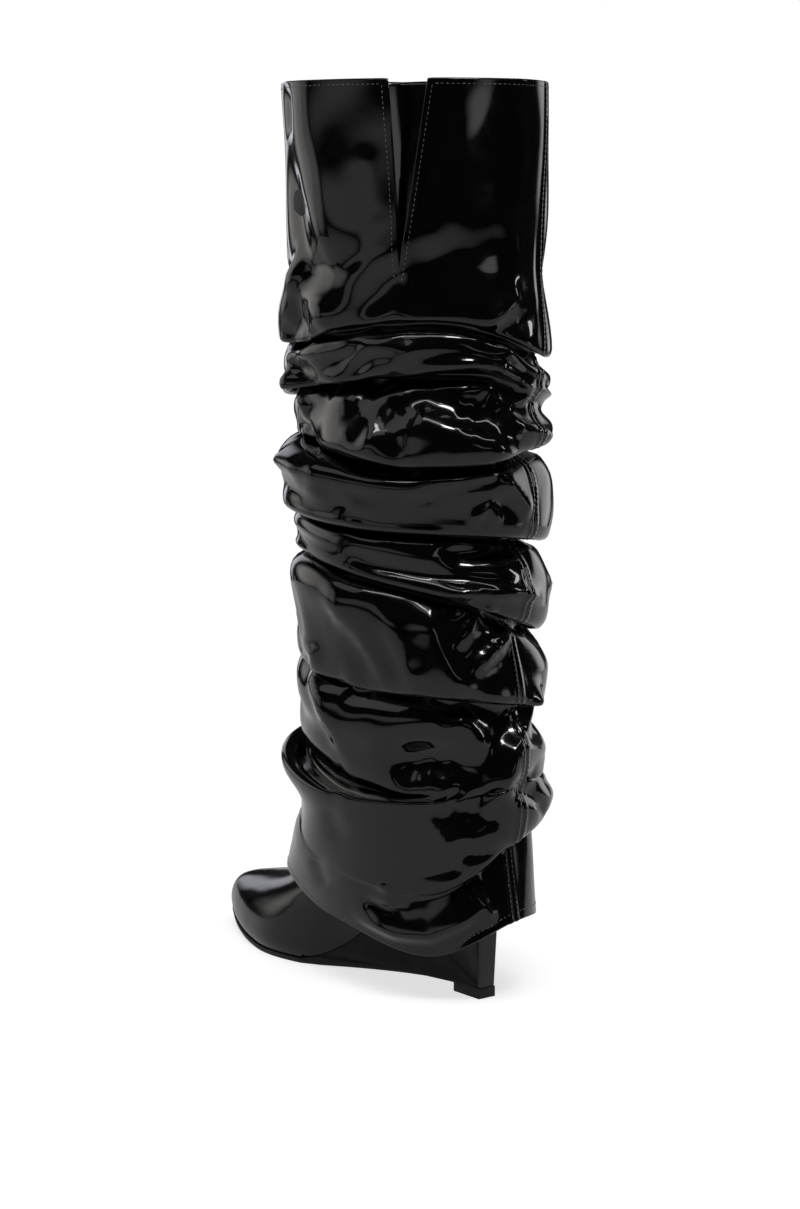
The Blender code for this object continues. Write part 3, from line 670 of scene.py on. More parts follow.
def drawn_skin(azimuth, row):
    """Points of the sleeve's outside as drawn, of its plain oval, and how far its creases move them."""
    azimuth, row = np.broadcast_arrays(np.asarray(azimuth, float), np.asarray(row, float))
    controls = sleeve_controls(azimuth)
    last = len(controls) - 1
    first = np.clip(np.floor(row).astype(int), 0, last - 1)
    t = (row - first)[:, None]
    every = np.arange(len(row))
    before, start, end, after = (
        controls[np.clip(first + step, 0, last), :, every] for step in (-1, 0, 1, 2)
    )
    before = np.where((first == 0)[:, None], 2.0 * start - end, before)
    after = np.where((first == last - 1)[:, None], 2.0 * end - start, after)
    height, offset, plain = cubic(before, start, end, after, t).T
    from_seam = signed_turn(azimuth) * ARC
    seam = SEAM_STEP / (1.0 + (from_seam / SEAM_HALF_WIDTH) ** SEAM_SQUARENESS)
    seam = seam - SEAM_GROOVE * np.exp(-(from_seam / SEAM_GROOVE_WIDTH) ** 2)
    offset = offset + ripple(azimuth, plain) + seam
    edge = np.clip((last - row) / HEM_FADE, HEM_CREASE, 1.0)[:, None]
    plain_skin = sleeve_oval(azimuth, plain, 0.0)
    outward = sleeve_oval(azimuth, plain, 1.0) - plain_skin
    return sleeve_oval(azimuth, height, offset), plain_skin, outward * edge * crease_relief(azimuth, plain)[:, None]


def draw_threads(points, lengths, reach, share):
    """Draws every pair of points, reach being the steps along and around between them, towards its length."""
    along, turn = reach
    first = points[:len(points) - along]
    second = np.roll(points[along:], -turn, axis=1)
    between = second - first
    gap = np.linalg.norm(between, axis=2, keepdims=True)
    shift = between * (0.5 * share * (1.0 - lengths / np.maximum(gap, TINY)))
    points[:len(points) - along] += shift
    points[along:] -= np.roll(shift, turn, axis=1)


def eased(values, at, wrap=False):
    """Values along the first axis, read between their places by a cubic."""
    first = np.floor(at).astype(int)
    t = (at - first).reshape((-1,) + (1,) * (values.ndim - 1))
    count = len(values)
    before, start, end, after = (
        values[(first + k) % count if wrap else np.clip(first + k, 0, count - 1)] for k in (-1, 0, 1, 2)
    )
    return cubic(before, start, end, after, t)


def settle(points, plain, rounds, reach, stiffness):
    """Lets the skin give like a sheet that hardly stretches: its threads go back to the lengths they have when
    flat, so that soft swells between the folds draw out into flat panels, crisp edges and small puckers."""
    start = points.copy()
    height = plain[..., 2:]
    free = np.clip((SETTLE_TOP - height) / SETTLE_TOP_RAMP, 0.0, 1.0)
    free = free * np.clip((height - SETTLE_LOW) / SETTLE_LOW_RAMP, 0.0, 1.0)
    wide = np.linalg.norm(np.roll(plain, -1, axis=1) - plain, axis=2, keepdims=True)
    drawn = np.linalg.norm(np.roll(points, -1, axis=1) - points, axis=2, keepdims=True)
    wide = wide * SETTLE_TRUE + drawn * (1.0 - SETTLE_TRUE)
    long = np.linalg.norm(np.diff(points, axis=0), axis=2, keepdims=True)
    spread = np.fft.rfft(long, axis=1)
    spread[:, SETTLE_WAVES:] = 0.0
    long = np.fft.irfft(spread, n=points.shape[1], axis=1) * (1.0 + SETTLE_SLACK * free[1:])
    cross = np.hypot((wide[1:] + wide[:-1]) / 2.0, long)
    wide_two, long_two = wide + np.roll(wide, -1, axis=1), long[1:] + long[:-1]
    cap = reach * free
    threads = (
        # lengths, steps along and around, share
        (wide, (0, 1), THREAD_PULL),
        (long, (1, 0), THREAD_PULL),
        (cross, (1, 1), CROSS_PULL),
        (cross, (1, -1), CROSS_PULL),
        (wide_two, (0, 2), stiffness),
        (long_two, (2, 0), stiffness),
    )
    for _ in range(rounds):
        for lengths, steps, share in threads:
            draw_threads(points, lengths, steps, share)
        moved = points - start
        far = np.linalg.norm(moved, axis=2, keepdims=True)
        points = start + moved * np.minimum(1.0, cap / np.maximum(far, TINY))
    return points


def settle_coarse(points, plain, skip):
    """Settles every few threads first, which draws the wide folds, and carries the rest along."""
    rows = np.unique(np.append(np.arange(0, len(points), skip), len(points) - 1))
    some = np.ix_(rows, np.arange(0, points.shape[1], skip))
    moved = settle(points[some], plain[some], COARSE_ROUNDS, COARSE_REACH, COARSE_STIFFNESS) - points[some]
    row_at = np.interp(np.arange(len(points)), rows, np.arange(len(rows)))
    down = eased(moved, row_at)
    across = eased(down.swapaxes(0, 1), np.arange(points.shape[1]) / skip, wrap=True)
    return points + across.swapaxes(0, 1)


def skin_rows():
    """The rows of the skin's grid."""
    divisions = row_divisions()
    return np.concatenate([[0.0]] + [k + np.arange(1, n + 1) / n for k, n in enumerate(divisions)])


def skin_azimuth(share):
    """Azimuth at a share of the way round, its columns crowded at the back seam."""
    return TURN * (share - SEAM_CROWDING * np.sin(2.0 * np.pi * share) / (2.0 * np.pi))


def settled_skin():
    """The settled skin as a grid of points, row by row from the rim and round from the back seam."""
    rows = skin_rows()
    turn = skin_azimuth(np.arange(SLEEVE_COLUMNS) / SLEEVE_COLUMNS)
    row, azimuth = np.meshgrid(rows, turn, indexing="ij")
    shape = (len(rows), len(turn), 3)
    drawn, plain, creases = (part.reshape(shape) for part in drawn_skin(azimuth.ravel(), row.ravel()))
    skin = settle(settle_coarse(drawn, plain, COARSE_SKIP), plain, FINE_ROUNDS, FINE_REACH, FINE_STIFFNESS)
    moved = skin - drawn
    at_seam = np.exp(-(signed_turn(turn)[None, :, None] / SEAM_CALM) ** 2)
    for count in range(SEAM_EASE_ROUNDS):
        beside = (np.roll(moved, 1, axis=1) + np.roll(moved, -1, axis=1)) / 2.0
        above = (np.concatenate([moved[:1], moved[:-1]]) + np.concatenate([moved[1:], moved[-1:]])) / 2.0
        share = EASE_SHARE if count < EASE_ROUNDS else EASE_SHARE * at_seam
        moved = moved + share * (beside - moved) + share * (above - moved)
    return drawn + moved + creases


SKIN = settled_skin()


def sleeve_skin(azimuth, row):
    """Points of the sleeve's outside at any azimuth and row."""
    azimuth, row = np.broadcast_arrays(np.asarray(azimuth, float), np.asarray(row, float))
    fine = np.linspace(0.0, 1.0, FINE_STEPS)
    column_at = np.interp(np.mod(azimuth, TURN), skin_azimuth(fine), fine) * SLEEVE_COLUMNS
    row_at = np.interp(row, skin_rows(), np.arange(len(SKIN)))
    left, top = np.floor(column_at).astype(int), np.clip(np.floor(row_at).astype(int), 0, len(SKIN) - 2)
    across, down = (column_at - left)[:, None], (row_at - top)[:, None]
    left, right = left % SLEEVE_COLUMNS, (left + 1) % SLEEVE_COLUMNS
    upper = SKIN[top, left] * (1.0 - across) + SKIN[top, right] * across
    lower = SKIN[top + 1, left] * (1.0 - across) + SKIN[top + 1, right] * across
    return upper * (1.0 - down) + lower * down


def notch_edge(row, sign):
    """Azimuth of the notch's front edge (sign 1) or back edge (sign -1) at a row."""
    share = np.asarray(row, float) / (len(RIM_ROWS) - 1)
    half = NOTCH_WIDTH / 2.0 / LATERAL_ARC
    return NOTCH_AZIMUTH + sign * half * (1.0 - share) + NOTCH_LEAN / LATERAL_ARC * share


def make_sleeve(material):
    """The sleeve's patent skin, a grid cut by the notch while it is flat and then rolled round the leg."""
    rows = skin_rows()
    mesh = flat_grid(SLEEVE_COLUMNS, len(rows) - 1)
    share, down = flat_places(mesh)
    azimuth = skin_azimuth(share)
    row = rows[np.rint(down * (len(rows) - 1)).astype(int)]
    for vertex, a, r in zip(mesh.verts, azimuth, row):
        vertex.co = (a, r, 0.0)
    depth = len(RIM_ROWS) - 1
    point = Vector((float(notch_edge(depth, 1)), depth, 0.0))
    for sign in (1, -1):
        corner = Vector((float(notch_edge(0, sign)), 0.0, 0.0))
        along = corner - point
        near = [face for face in mesh.faces if face.calc_center_median().y < depth + CUT_ROWS
                and abs(face.calc_center_median().x - NOTCH_AZIMUTH) < CUT_DEGREES]
        parts = near + list({e for face in near for e in face.edges}) + list({v for face in near for v in face.verts})
        bmesh.ops.bisect_plane(mesh, geom=parts, dist=CUT_SNAP, plane_co=point, plane_no=(along.y, -along.x, 0.0))
    open_faces = []
    for face in mesh.faces:
        centre = face.calc_center_median()
        if centre.y < depth and notch_edge(centre.y, -1) < centre.x < notch_edge(centre.y, 1):
            open_faces.append(face)
    bmesh.ops.delete(mesh, geom=open_faces, context="FACES")
    azimuth, row = flat_places(mesh)
    shape_to(mesh, sleeve_skin(azimuth, row))
    return finished("sleeve", mesh, material, "shaft", smooth=180.0)


def make_lining(material):
    """The sleeve's lining: it follows the skin's creases at the rim, steps back behind the gusset, and hangs clear
    of the folds further down."""
    mesh = flat_grid(*LINING_GRID)
    share, down = flat_places(mesh)
    azimuth = TURN * share
    height = SLEEVE_HEIGHT - LINING_DROP - LINING_LENGTH * down
    fall = SLEEVE_HEIGHT - height
    clear = SLEEVE_WALL + LINING_GAP + LINING_CLEAR * np.clip((fall - LINING_CLOSE) / LINING_CLEAR_RAMP, 0.0, 1.0)
    follow = np.clip((LINING_CLOSE - fall) / LINING_CREASE_RAMP, 0.0, 1.0)
    clear = clear - crease_relief(azimuth, height) * follow
    half = (NOTCH_WIDTH / 2.0 * (1.0 - fall / NOTCH_DEPTH) + GUSSET_MARGIN) / LATERAL_ARC
    beside = np.clip((half + RECESS_RAMP - np.abs(azimuth - NOTCH_AZIMUTH)) / RECESS_RAMP, 0.0, 1.0)
    recess = gentle(beside) * np.clip((NOTCH_DEPTH - fall) / RECESS_FADE, 0.0, 1.0)
    clear = clear + (GUSSET_PLEAT + RECESS_ROOM) * recess
    shape_to(mesh, sleeve_oval(azimuth, height, -clear))
    return finished("sleeve_lining", mesh, material)


def tube(mesh, path, outward, radius):
    """Adds a closed tube along a closed path of points, flat against outward."""
    strip = flat_grid(TUBE_SIDES, len(path))
    share, along = flat_places(strip)
    place = np.rint(along * len(path)).astype(int) % len(path)
    forward = np.roll(path, -1, axis=0) - np.roll(path, 1, axis=0)
    forward /= np.linalg.norm(forward, axis=1, keepdims=True)
    sideways = np.cross(forward, outward)
    sideways /= np.linalg.norm(sideways, axis=1, keepdims=True)
    outward = np.cross(sideways, forward)
    turn = 2.0 * np.pi * share[:, None]
    shape_to(strip, path[place] + radius * (np.cos(turn) * outward[place] + np.sin(turn) * sideways[place]))
    data = mesh_data("strip", strip)
    mesh.from_mesh(data)
    bpy.data.meshes.remove(data)


def skin_frame(azimuth, row, sink=0.0):
    """Points of the skin, sink below its face, with its outward directions there."""
    azimuth, row = np.asarray(azimuth, float), np.asarray(row, float)
    ahead = sleeve_skin(azimuth + FRAME_DEGREES, row) - sleeve_skin(azimuth - FRAME_DEGREES, row)
    high, low = np.clip(row - FRAME_ROWS, 0.0, LAST_ROW), np.clip(row + FRAME_ROWS, 0.0, LAST_ROW)
    below = sleeve_skin(azimuth, low) - sleeve_skin(azimuth, high)
    out = np.cross(ahead, below)
    out /= np.linalg.norm(out, axis=1, keepdims=True) + SLIVER
    return sleeve_skin(azimuth, row) - out * sink, out


def notch_path(steps):
    """Azimuths and rows down the notch's back edge and up its front edge."""
    rows = np.linspace(0.0, len(RIM_ROWS) - 1.0, steps)
    azimuth = np.concatenate([notch_edge(rows, -1), notch_edge(rows[::-1], 1)[1:]])
    return azimuth, np.concatenate([rows, rows[::-1][1:]])


def make_binding(material):
    """The folded edge round the rim, the notch and the hem."""
    mesh = bmesh.new()
    rim = np.linspace(float(notch_edge(0, 1)), TURN + float(notch_edge(0, -1)), RIM_STEPS)[:-1]
    down, rows = notch_path(NOTCH_STEPS)
    top = np.concatenate([rim, down[:-1] + TURN]), np.concatenate([np.zeros(len(rim)), rows[:-1]])
    hem = np.arange(HEM_STEPS) * TURN / HEM_STEPS, np.full(HEM_STEPS, float(LAST_ROW))
    for azimuth, row in (top, hem):
        path, out = skin_frame(azimuth, row, BINDING_RADIUS)
        tube(mesh, path, out, BINDING_RADIUS)
    return finished("edge_binding", mesh, material, smooth=180.0)


def along_path(places, walked, values):
    """Values along a path of points, read at places along it."""
    return np.stack([np.interp(places, walked, values[:, k]) for k in range(3)], axis=-1)


def lay_stitches(mesh, path, out):
    """Adds a row of stitches along a path of points."""
    gaps = np.linalg.norm(np.diff(path, axis=0), axis=1)
    walked = np.concatenate([[0.0], np.cumsum(gaps)])
    places = np.arange(STITCH_PITCH / 2.0, walked[-1], STITCH_PITCH)
    here, ahead = along_path(places, walked, path), along_path(places + STITCH_AHEAD, walked, path)
    for place, front, normal in zip(here, ahead, along_path(places, walked, out)):
        along = Vector(front - place)
        if along.length < STITCH_LEAST:
            continue
        along.normalize()
        side = along.cross(Vector(normal)).normalized()
        normal = side.cross(along)
        turn = Matrix((along, side, normal)).transposed().to_4x4()
        sizes = Matrix.Diagonal((STITCH_LENGTH / 2.0 * MM, STITCH_RADIUS * MM, STITCH_RADIUS * MM, 1.0))
        where = Matrix.Translation(Vector(row_place(place + np.array(normal) * STITCH_RADIUS * STITCH_LIFT)))
        bmesh.ops.create_icosphere(mesh, subdivisions=1, radius=1.0, matrix=where @ turn @ sizes)


def make_stitches(material):
    """Stitches along the rim, the notch, the back seam and the hem."""
    mesh = bmesh.new()
    inset = EDGE_STITCH_INSET / (RIM_ROWS[1] - RIM_ROWS[0])
    front, back = float(notch_edge(0, 1)), float(notch_edge(0, -1))
    rim = np.linspace(front + STITCH_MARGIN, TURN - STITCH_MARGIN + back, RIM_STITCH_STEPS)
    lay_stitches(mesh, *skin_frame(rim, np.full(len(rim), inset)))
    rows = np.linspace(inset, len(RIM_ROWS) - 1.0 + NOTCH_STITCH_PAST, NOTCH_STITCH_STEPS)
    for sign in (1, -1):
        beside = notch_edge(rows, sign) + sign * EDGE_STITCH_INSET / LATERAL_ARC
        lay_stitches(mesh, *skin_frame(beside, rows))
    rows = np.linspace(inset, LAST_ROW - SEAM_STITCH_SHORT, SEAM_STITCH_STEPS)
    for sign in (1, -1):
        beside = np.full(len(rows), sign * SEAM_STITCH_OFFSET / ARC)
        lay_stitches(mesh, *skin_frame(beside, rows))
    hem = np.linspace(STITCH_MARGIN, TURN - STITCH_MARGIN, HEM_STITCH_STEPS)
    lay_stitches(mesh, *skin_frame(hem, np.full(len(hem), LAST_ROW - HEM_STITCH_ROW)))
    return finished("stitches", mesh, material, smooth=180.0)


def make_gusset(material):
    """The pleated insert behind the notch: two leaves that meet in a crease drawn into the sleeve."""
    mesh = flat_grid(*GUSSET_GRID)
    share, down = flat_places(mesh)
    across = 2.0 * share - 1.0
    fall = GUSSET_DROP + (NOTCH_DEPTH + GUSSET_MARGIN - GUSSET_DROP) * down
    open_width = NOTCH_WIDTH / 2.0 * np.clip(1.0 - fall / NOTCH_DEPTH, 0.0, 1.0)
    middle = NOTCH_AZIMUTH + NOTCH_LEAN / LATERAL_ARC * fall / NOTCH_DEPTH
    from_crease = across - GUSSET_CREASE
    skew = np.where(from_crease < 0.0, from_crease / (1.0 + GUSSET_CREASE), from_crease / (1.0 - GUSSET_CREASE))
    azimuth = middle + across * (open_width + GUSSET_MARGIN) / LATERAL_ARC
    pleat = GUSSET_PLEAT * (1.0 - np.abs(skew)) ** GUSSET_BEND * open_width / (NOTCH_WIDTH / 2.0)
    shape_to(mesh, sleeve_oval(azimuth, SLEEVE_HEIGHT - fall, -(SLEEVE_WALL + GUSSET_GAP) - pleat))
    piece = finished("gusset_leaves", mesh, material, "gusset", smooth=30.0)
    add_wall(piece, GUSSET_WALL)
    return piece


# The foot and the heel

def upper_skin(station, share):
    """Points of the foot upper: station runs from 0 at the heel by the lateral side to 360."""
    rows = np.array(UPPER_RINGS)
    at = np.linspace(0.0, 1.0, len(rows))
    back_y, back_z, front_y, front_z, ankle, swell, sag = (
        smooth_curve(at, rows[:, k], share) for k in range(rows.shape[1])
    )
    lateral = station <= HALF_TURN
    folded = np.where(lateral, station, TURN - station)
    sine = np.sin(np.radians(folded))
    along = (1.0 - np.cos(np.radians(folded))) / 2.0
    y = back_y + (front_y - back_y) * along
    chord = back_z + (front_z - back_z) * along
    flat = SEAT_HEIGHT + (seat_height(SHOE_LENGTH) - SEAT_HEIGHT) * along
    z = chord + sag * (seat_height(SHOE_LENGTH * along) - flat)
    foot = np.where(lateral, feather(folded, 1), feather(folded, 2)) + swell * sine
    x = np.where(lateral, -1.0, 1.0) * (foot * (1.0 - ankle) + ANKLE_HALF_WIDTH * sine * ankle)
    return np.stack([x, y, z], axis=-1)


def make_upper(material):
    """The foot upper's patent skin, with its wall on the inside."""
    mesh = flat_grid(*UPPER_GRID)
    share, up = flat_places(mesh)
    points = upper_skin(TURN * share, up)
    base = seat_height(np.clip(points[:, 1], 0.0, SHOE_LENGTH)) + GAP
    points[:, 2] = np.maximum(points[:, 2], base)
    shape_to(mesh, points)
    piece = finished("foot_upper", mesh, material, "upper", smooth=60.0)
    add_wall(piece, UPPER_WALL)
    return piece


def make_wedge(material):
    """The covered wedge, as walls that run round from one side of the ball to the other by the back face."""
    front = WEDGE_FRONT - WEDGE_SETBACK
    corner = np.radians(np.linspace(QUARTER_TURN, 0.0, CORNER_STEPS))
    side_y = front + (BLADE_CORNER - front) * np.linspace(0.0, 1.0, WEDGE_STEPS) ** WEDGE_CROWDING
    path_y = np.concatenate([side_y[:-1], BLADE_CORNER * (1.0 - np.cos(corner))])
    path_in = np.concatenate([np.zeros(len(side_y) - 1), BLADE_CORNER * (1.0 - np.sin(corner))])
    across = len(path_y) * 2 - 1
    mesh = flat_grid(across, WEDGE_LEVELS)
    share, up = flat_places(mesh)
    place = np.rint(share * across).astype(int)
    medial = place >= len(path_y)
    index = np.where(medial, 2 * len(path_y) - 1 - place, place)
    y, inset = path_y[index], path_in[index]
    low = np.where(y <= LIFT_LENGTH + LIFT_MARGIN, np.maximum(outsole_top(y), LIFT_HEIGHT), outsole_top(y))
    low = low + WEDGE_CLEAR
    high = np.maximum(seat_height(y), low + WEDGE_LEAST)
    seat = np.where(medial, feather(station_at(y), 2), feather(station_at(y), 1)) - WEDGE_INSET
    seat = np.maximum(seat, BLADE_HALF_WIDTH + BLADE_FLARE + SEAT_MARGIN)
    blade = np.where(medial, keel(y, 2), keel(y, 1)) - WEDGE_INSET
    width = blade + BLADE_FLARE * up + np.maximum(seat - blade - BLADE_FLARE, 0.0) * up ** SEAT_CURVE - inset
    lean = (BLADE_LEAN * up * (1.0 - up ** LEAN_CURVE) - HEEL_BACK) * np.clip(1.0 - y / BLADE_LENGTH, 0.0, 1.0)
    z = low + (high - low) * up
    shape_to(mesh, np.stack([np.where(medial, width, -width), y - lean, z], axis=-1))
    close_ends(mesh)
    return finished("wedge_cover", mesh, material, "wedge", smooth=35.0)


def make_outsole(material):
    """The outsole: a thin sole with a rounded lower edge, drawn in to a strip that ends at the lift."""
    count = len(OUTSOLE_SECTION)
    mesh = flat_grid(count, OUTSOLE_STATIONS)
    share, along = flat_places(mesh)
    back = station_at(LIFT_LENGTH + GAP)
    y = station_y(back + (OUTSOLE_TOE - back) * along)
    low, high = tread_height(y), np.minimum(outsole_top(y), seat_height(y))
    points = np.zeros((len(y), 3))
    place = np.rint(share * count).astype(int) % count
    for number, (side, level, inset) in enumerate(OUTSOLE_SECTION):
        here = place == number
        thick = (high - low)[here]
        width = keel(y[here], side) - inset * np.minimum(1.0, thick / OUTSOLE_THICKNESS)
        points[here] = np.stack([width if side == 2 else -width, y[here], low[here] + thick * level], axis=-1)
    shape_to(mesh, points)
    close_ends(mesh)
    return finished("outsole_strip", mesh, material, "outsole", smooth=50.0)


def make_lift(material):
    """The heel's lift: a block with softened edges and a shallow groove where it meets the heel."""
    height = LIFT_HEIGHT - LIFT_GROOVE
    mesh = bmesh.new()
    bmesh.ops.create_cube(mesh, size=1.0)
    bmesh.ops.scale(mesh, verts=mesh.verts, vec=(2.0 * LIFT_HALF_WIDTH, LIFT_LENGTH, height))
    bmesh.ops.bevel(mesh, geom=mesh.edges[:], offset=LIFT_BEVEL, segments=2, profile=0.5, affect="EDGES", material=-1)
    rise = Vector((BLADE_MIDDLE, HEEL_BACK + LIFT_LENGTH / 2.0, height / 2.0))
    shape_to(mesh, [vertex.co + rise for vertex in mesh.verts])
    return finished("lift_block", mesh, material, "top_lift", smooth=30.0)


def make_insole(material):
    """The board inside the foot, soft at its edge."""
    mesh = flat_grid(*INSOLE_GRID)
    share, along = flat_places(mesh)
    station = INSOLE_END + (HALF_TURN - 2.0 * INSOLE_END) * along
    y = np.clip(station_y(station), INSOLE_INSET, SHOE_LENGTH - INSOLE_INSET)
    lateral, medial = (np.maximum(feather(station, side) - INSOLE_INSET, INSOLE_LEAST) for side in (1, 2))
    across = np.sin((share - 0.5) * np.pi)
    x = np.where(across < 0.0, across * lateral, across * medial)
    crown = 1.0 - np.abs(across) ** CROWN_SQUARENESS
    z = seat_height(y) + GAP + INSOLE_THICKNESS * (INSOLE_EDGE + INSOLE_CROWN * crown)
    shape_to(mesh, np.stack([x, y, z], axis=-1))
    piece = finished("insole_board", mesh, material, "insole")
    add_wall(piece, INSOLE_WALL)
    return piece


# Finishes

class Wire:
    """A socket of a shader that can be reckoned with."""

    def __init__(self, nodes, socket):
        self.nodes, self.socket = nodes, socket

    def _math(self, operation, *values):
        return self.nodes.add("ShaderNodeMath", {"operation": operation}, dict(enumerate(values)))

    def __add__(self, other):
        return self._math("ADD", self, other)

    def __mul__(self, other):
        return self._math("MULTIPLY", self, other)

    __radd__, __rmul__ = __add__, __mul__


class Nodes:
    """A tree of shader nodes under construction."""

    def __init__(self, tree):
        self.tree = tree

    def feed(self, socket, value):
        """Sets a socket to a value or links a wire to it."""
        if isinstance(value, Wire):
            self.tree.links.new(value.socket, socket)
        else:
            socket.default_value = value

    def add(self, kind, settings=None, sockets=None, out=0):
        """A node of a kind, its settings made before its sockets are fed."""
        node = self.tree.nodes.new(kind)
        for key, value in (settings or {}).items():
            if key == "stops":
                ramp = node.color_ramp.elements
                while len(ramp) < len(value):
                    ramp.new(0.5)
                for element, (place, colour) in zip(ramp, value):
                    element.position, element.color = place, colour
            else:
                setattr(node, key, value)
        for key, value in (sockets or {}).items():
            self.feed(node.inputs[key], value)
        return Wire(self, node.outputs[out])

    def to_camera(self, shown, mirrored):
        """One shader where the camera looks straight at it, and another for light and reflections."""
        path = self.add("ShaderNodeLightPath", out="Is Camera Ray")
        return self.add("ShaderNodeMixShader", None, {0: path, 1: mirrored, 2: shown})


class Finish(Nodes):
    """A material under construction: one Principled shader and the nodes that feed it."""

    def __init__(self, name, **sockets):
        self.material = bpy.data.materials.new(name)
        self.material.use_nodes = True
        super().__init__(self.material.node_tree)
        self.shader = self.tree.nodes["Principled BSDF"]
        self.set(**sockets)

    def set(self, **sockets):
        """Sets the shader's sockets, named with underscores for spaces, to values or wires."""
        for key, value in sockets.items():
            self.feed(self.shader.inputs[key.replace("_", " ")], value)

    def show(self, shader):
        """Puts another shader on the surface."""
        self.feed(self.tree.nodes["Material Output"].inputs["Surface"], shader)

    def place(self):
        return self.add("ShaderNodeTexCoord", out=3)

    def reach(self, vector):
        return self.add("ShaderNodeVectorMath", {"operation": "LENGTH"}, {0: vector}, out=1)

    def fade(self, value, near, far, start, end):
        """start up to near and end from far on, with a soft way between them."""
        return self.add("ShaderNodeMapRange", {"interpolation_type": "SMOOTHSTEP"},
                        {"Value": value, "From Min": near, "From Max": far, "To Min": start, "To Max": end})

    def noise(self, scale, detail=2.0, roughness=0.5):
        return self.add("ShaderNodeTexNoise", None, {"Vector": self.place(), "Scale": scale, "Detail": detail,
                                                     "Roughness": roughness})

    def wave(self, direction, scale, distortion, detail=2.0):
        return self.add("ShaderNodeTexWave", {"bands_direction": direction},
                        {"Vector": self.place(), "Scale": scale, "Distortion": distortion, "Detail": detail})

    def bump(self, height, distance, strength=1.0, under=None):
        sockets = {"Height": height, "Distance": distance, "Strength": strength}
        if under:
            sockets["Normal"] = under
        return self.add("ShaderNodeBump", None, sockets)

    def shades(self, factor, *stops):
        """A colour for each level of factor, from stops of a level and a colour."""
        return self.add("ShaderNodeValToRGB", {"stops": [(place, (*colour, 1.0)) for place, colour in stops]},
                        {0: factor})


def patent_leather(name, grain=1.0, waver=1.0, haze=0.03, coat=1.0):
    """Black patent: a dark skin under a hard clear coat, with a faint peel and slow waves in its gloss."""
    finish = Finish(name, Specular_IOR_Level=0.12, Coat_Weight=coat, Coat_Roughness=haze, Coat_IOR=1.5)
    cloud = finish.noise(38.0, detail=4.0, roughness=0.6)
    finish.set(
        Base_Color=finish.shades(cloud, (0.3, (0.0006, 0.0006, 0.0008)), (0.75, (0.002, 0.002, 0.0024))),
        Roughness=0.10 + 0.14 * cloud,
    )
    slow = finish.bump(finish.noise(95.0, detail=1.0), distance=0.0006 * waver, strength=0.5)
    peel = finish.bump(finish.noise(1500.0, detail=2.0), distance=0.00004 * grain, strength=0.35, under=slow)
    finish.set(Normal=peel)
    return finish.material


def heel_cover():
    """The wedge's cover: a flatter gloss, black with a fine grain and rubbed clouds; its shades are lifted to dark
    grey, a painted reflection of the lit floor that the wedge side mirrors.
    """
    finish = Finish("heel_cover", Specular_IOR_Level=0.3, Coat_Weight=0.3, Coat_Roughness=0.12)
    cloud = finish.noise(60.0, detail=5.0, roughness=0.65)
    # Painted reflection: both shades are lifted above black so the wedge side shows the floor light it mirrors.
    finish.set(
        Base_Color=finish.shades(cloud, (0.3, (0.018, 0.0195, 0.022)), (0.8, (0.034, 0.036, 0.040))),
        Roughness=0.22 + 0.2 * cloud,
        Normal=finish.bump(finish.noise(1100.0, detail=3.0), distance=0.00005, strength=0.5),
    )
    return finish.material


def sole_rubber(name, tread):
    """Matt black rubber, with fine cross lines where it is a tread."""
    finish = Finish(name, Specular_IOR_Level=0.4)
    cloud = finish.noise(70.0, detail=5.0, roughness=0.7)
    finish.set(
        Base_Color=finish.shades(cloud, (0.25, (0.007, 0.007, 0.0075)), (0.85, (0.022, 0.022, 0.023))),
        Roughness=0.42 + 0.25 * cloud,
    )
    lines = finish.wave("Y", scale=110.0, distortion=0.4)
    fine = finish.bump(finish.noise(900.0, detail=3.0), distance=0.00006, strength=0.6)
    finish.set(Normal=finish.bump(lines, distance=0.0002 * tread, strength=0.4, under=fine))
    return finish.material


def lining_cloth():
    """Dark lining with a fine weave and a faint sheen."""
    finish = Finish("lining", Specular_IOR_Level=0.3, Sheen_Weight=0.15)
    cloud = finish.noise(50.0, detail=4.0)
    weave = finish.wave("DIAGONAL", scale=420.0, distortion=1.0, detail=1.0)
    finish.set(
        Base_Color=finish.shades(cloud, (0.3, (0.010, 0.010, 0.011)), (0.8, (0.026, 0.025, 0.024))),
        Roughness=0.62 + 0.2 * cloud,
        Normal=finish.bump(weave, distance=0.0001, strength=0.5),
    )
    return finish.material


def waxed_thread():
    """Black waxed thread, twisted; its colour is painted a lighter grey, a painted glint that makes the stitches read
    as bright dots.
    """
    finish = Finish("thread", Specular_IOR_Level=0.6)
    twist = finish.wave("DIAGONAL", scale=700.0, distortion=0.5)
    # Painted highlight: the grey shades stand in for the glints on the glossy black thread.
    finish.set(
        Base_Color=finish.shades(finish.noise(300.0), (0.3, (0.07, 0.07, 0.073)),
                                 (0.8, (0.17, 0.17, 0.175))),
        Roughness=0.22 + 0.15 * twist,
        Normal=finish.bump(twist, distance=0.00008, strength=0.5),
    )
    return finish.material


# The studio

def make_camera():
    """The camera that was fitted to the picture."""
    turn, pitch = math.radians(CAMERA_TURN), math.radians(CAMERA_PITCH)
    right = Vector((math.sin(turn), -math.cos(turn), 0.0))
    ahead = Vector((math.cos(turn), math.sin(turn), 0.0))
    look = ahead * math.cos(pitch) - Vector((0.0, 0.0, math.sin(pitch)))
    above = right.cross(look)
    eye = right * CAMERA_SIDE - ahead * CAMERA_AWAY + Vector((0.0, 0.0, CAMERA_HEIGHT))
    data = bpy.data.cameras.new("camera")
    data.sensor_width = SENSOR
    data.sensor_fit = "AUTO"
    data.lens = FOCAL_PIXELS / PICTURE_HEIGHT * SENSOR
    camera = linked("camera", data)
    camera.matrix_world = Matrix.Translation(eye * MM + HOME) @ Matrix((right, above, -look)).transposed().to_4x4()
    bpy.context.scene.camera = camera


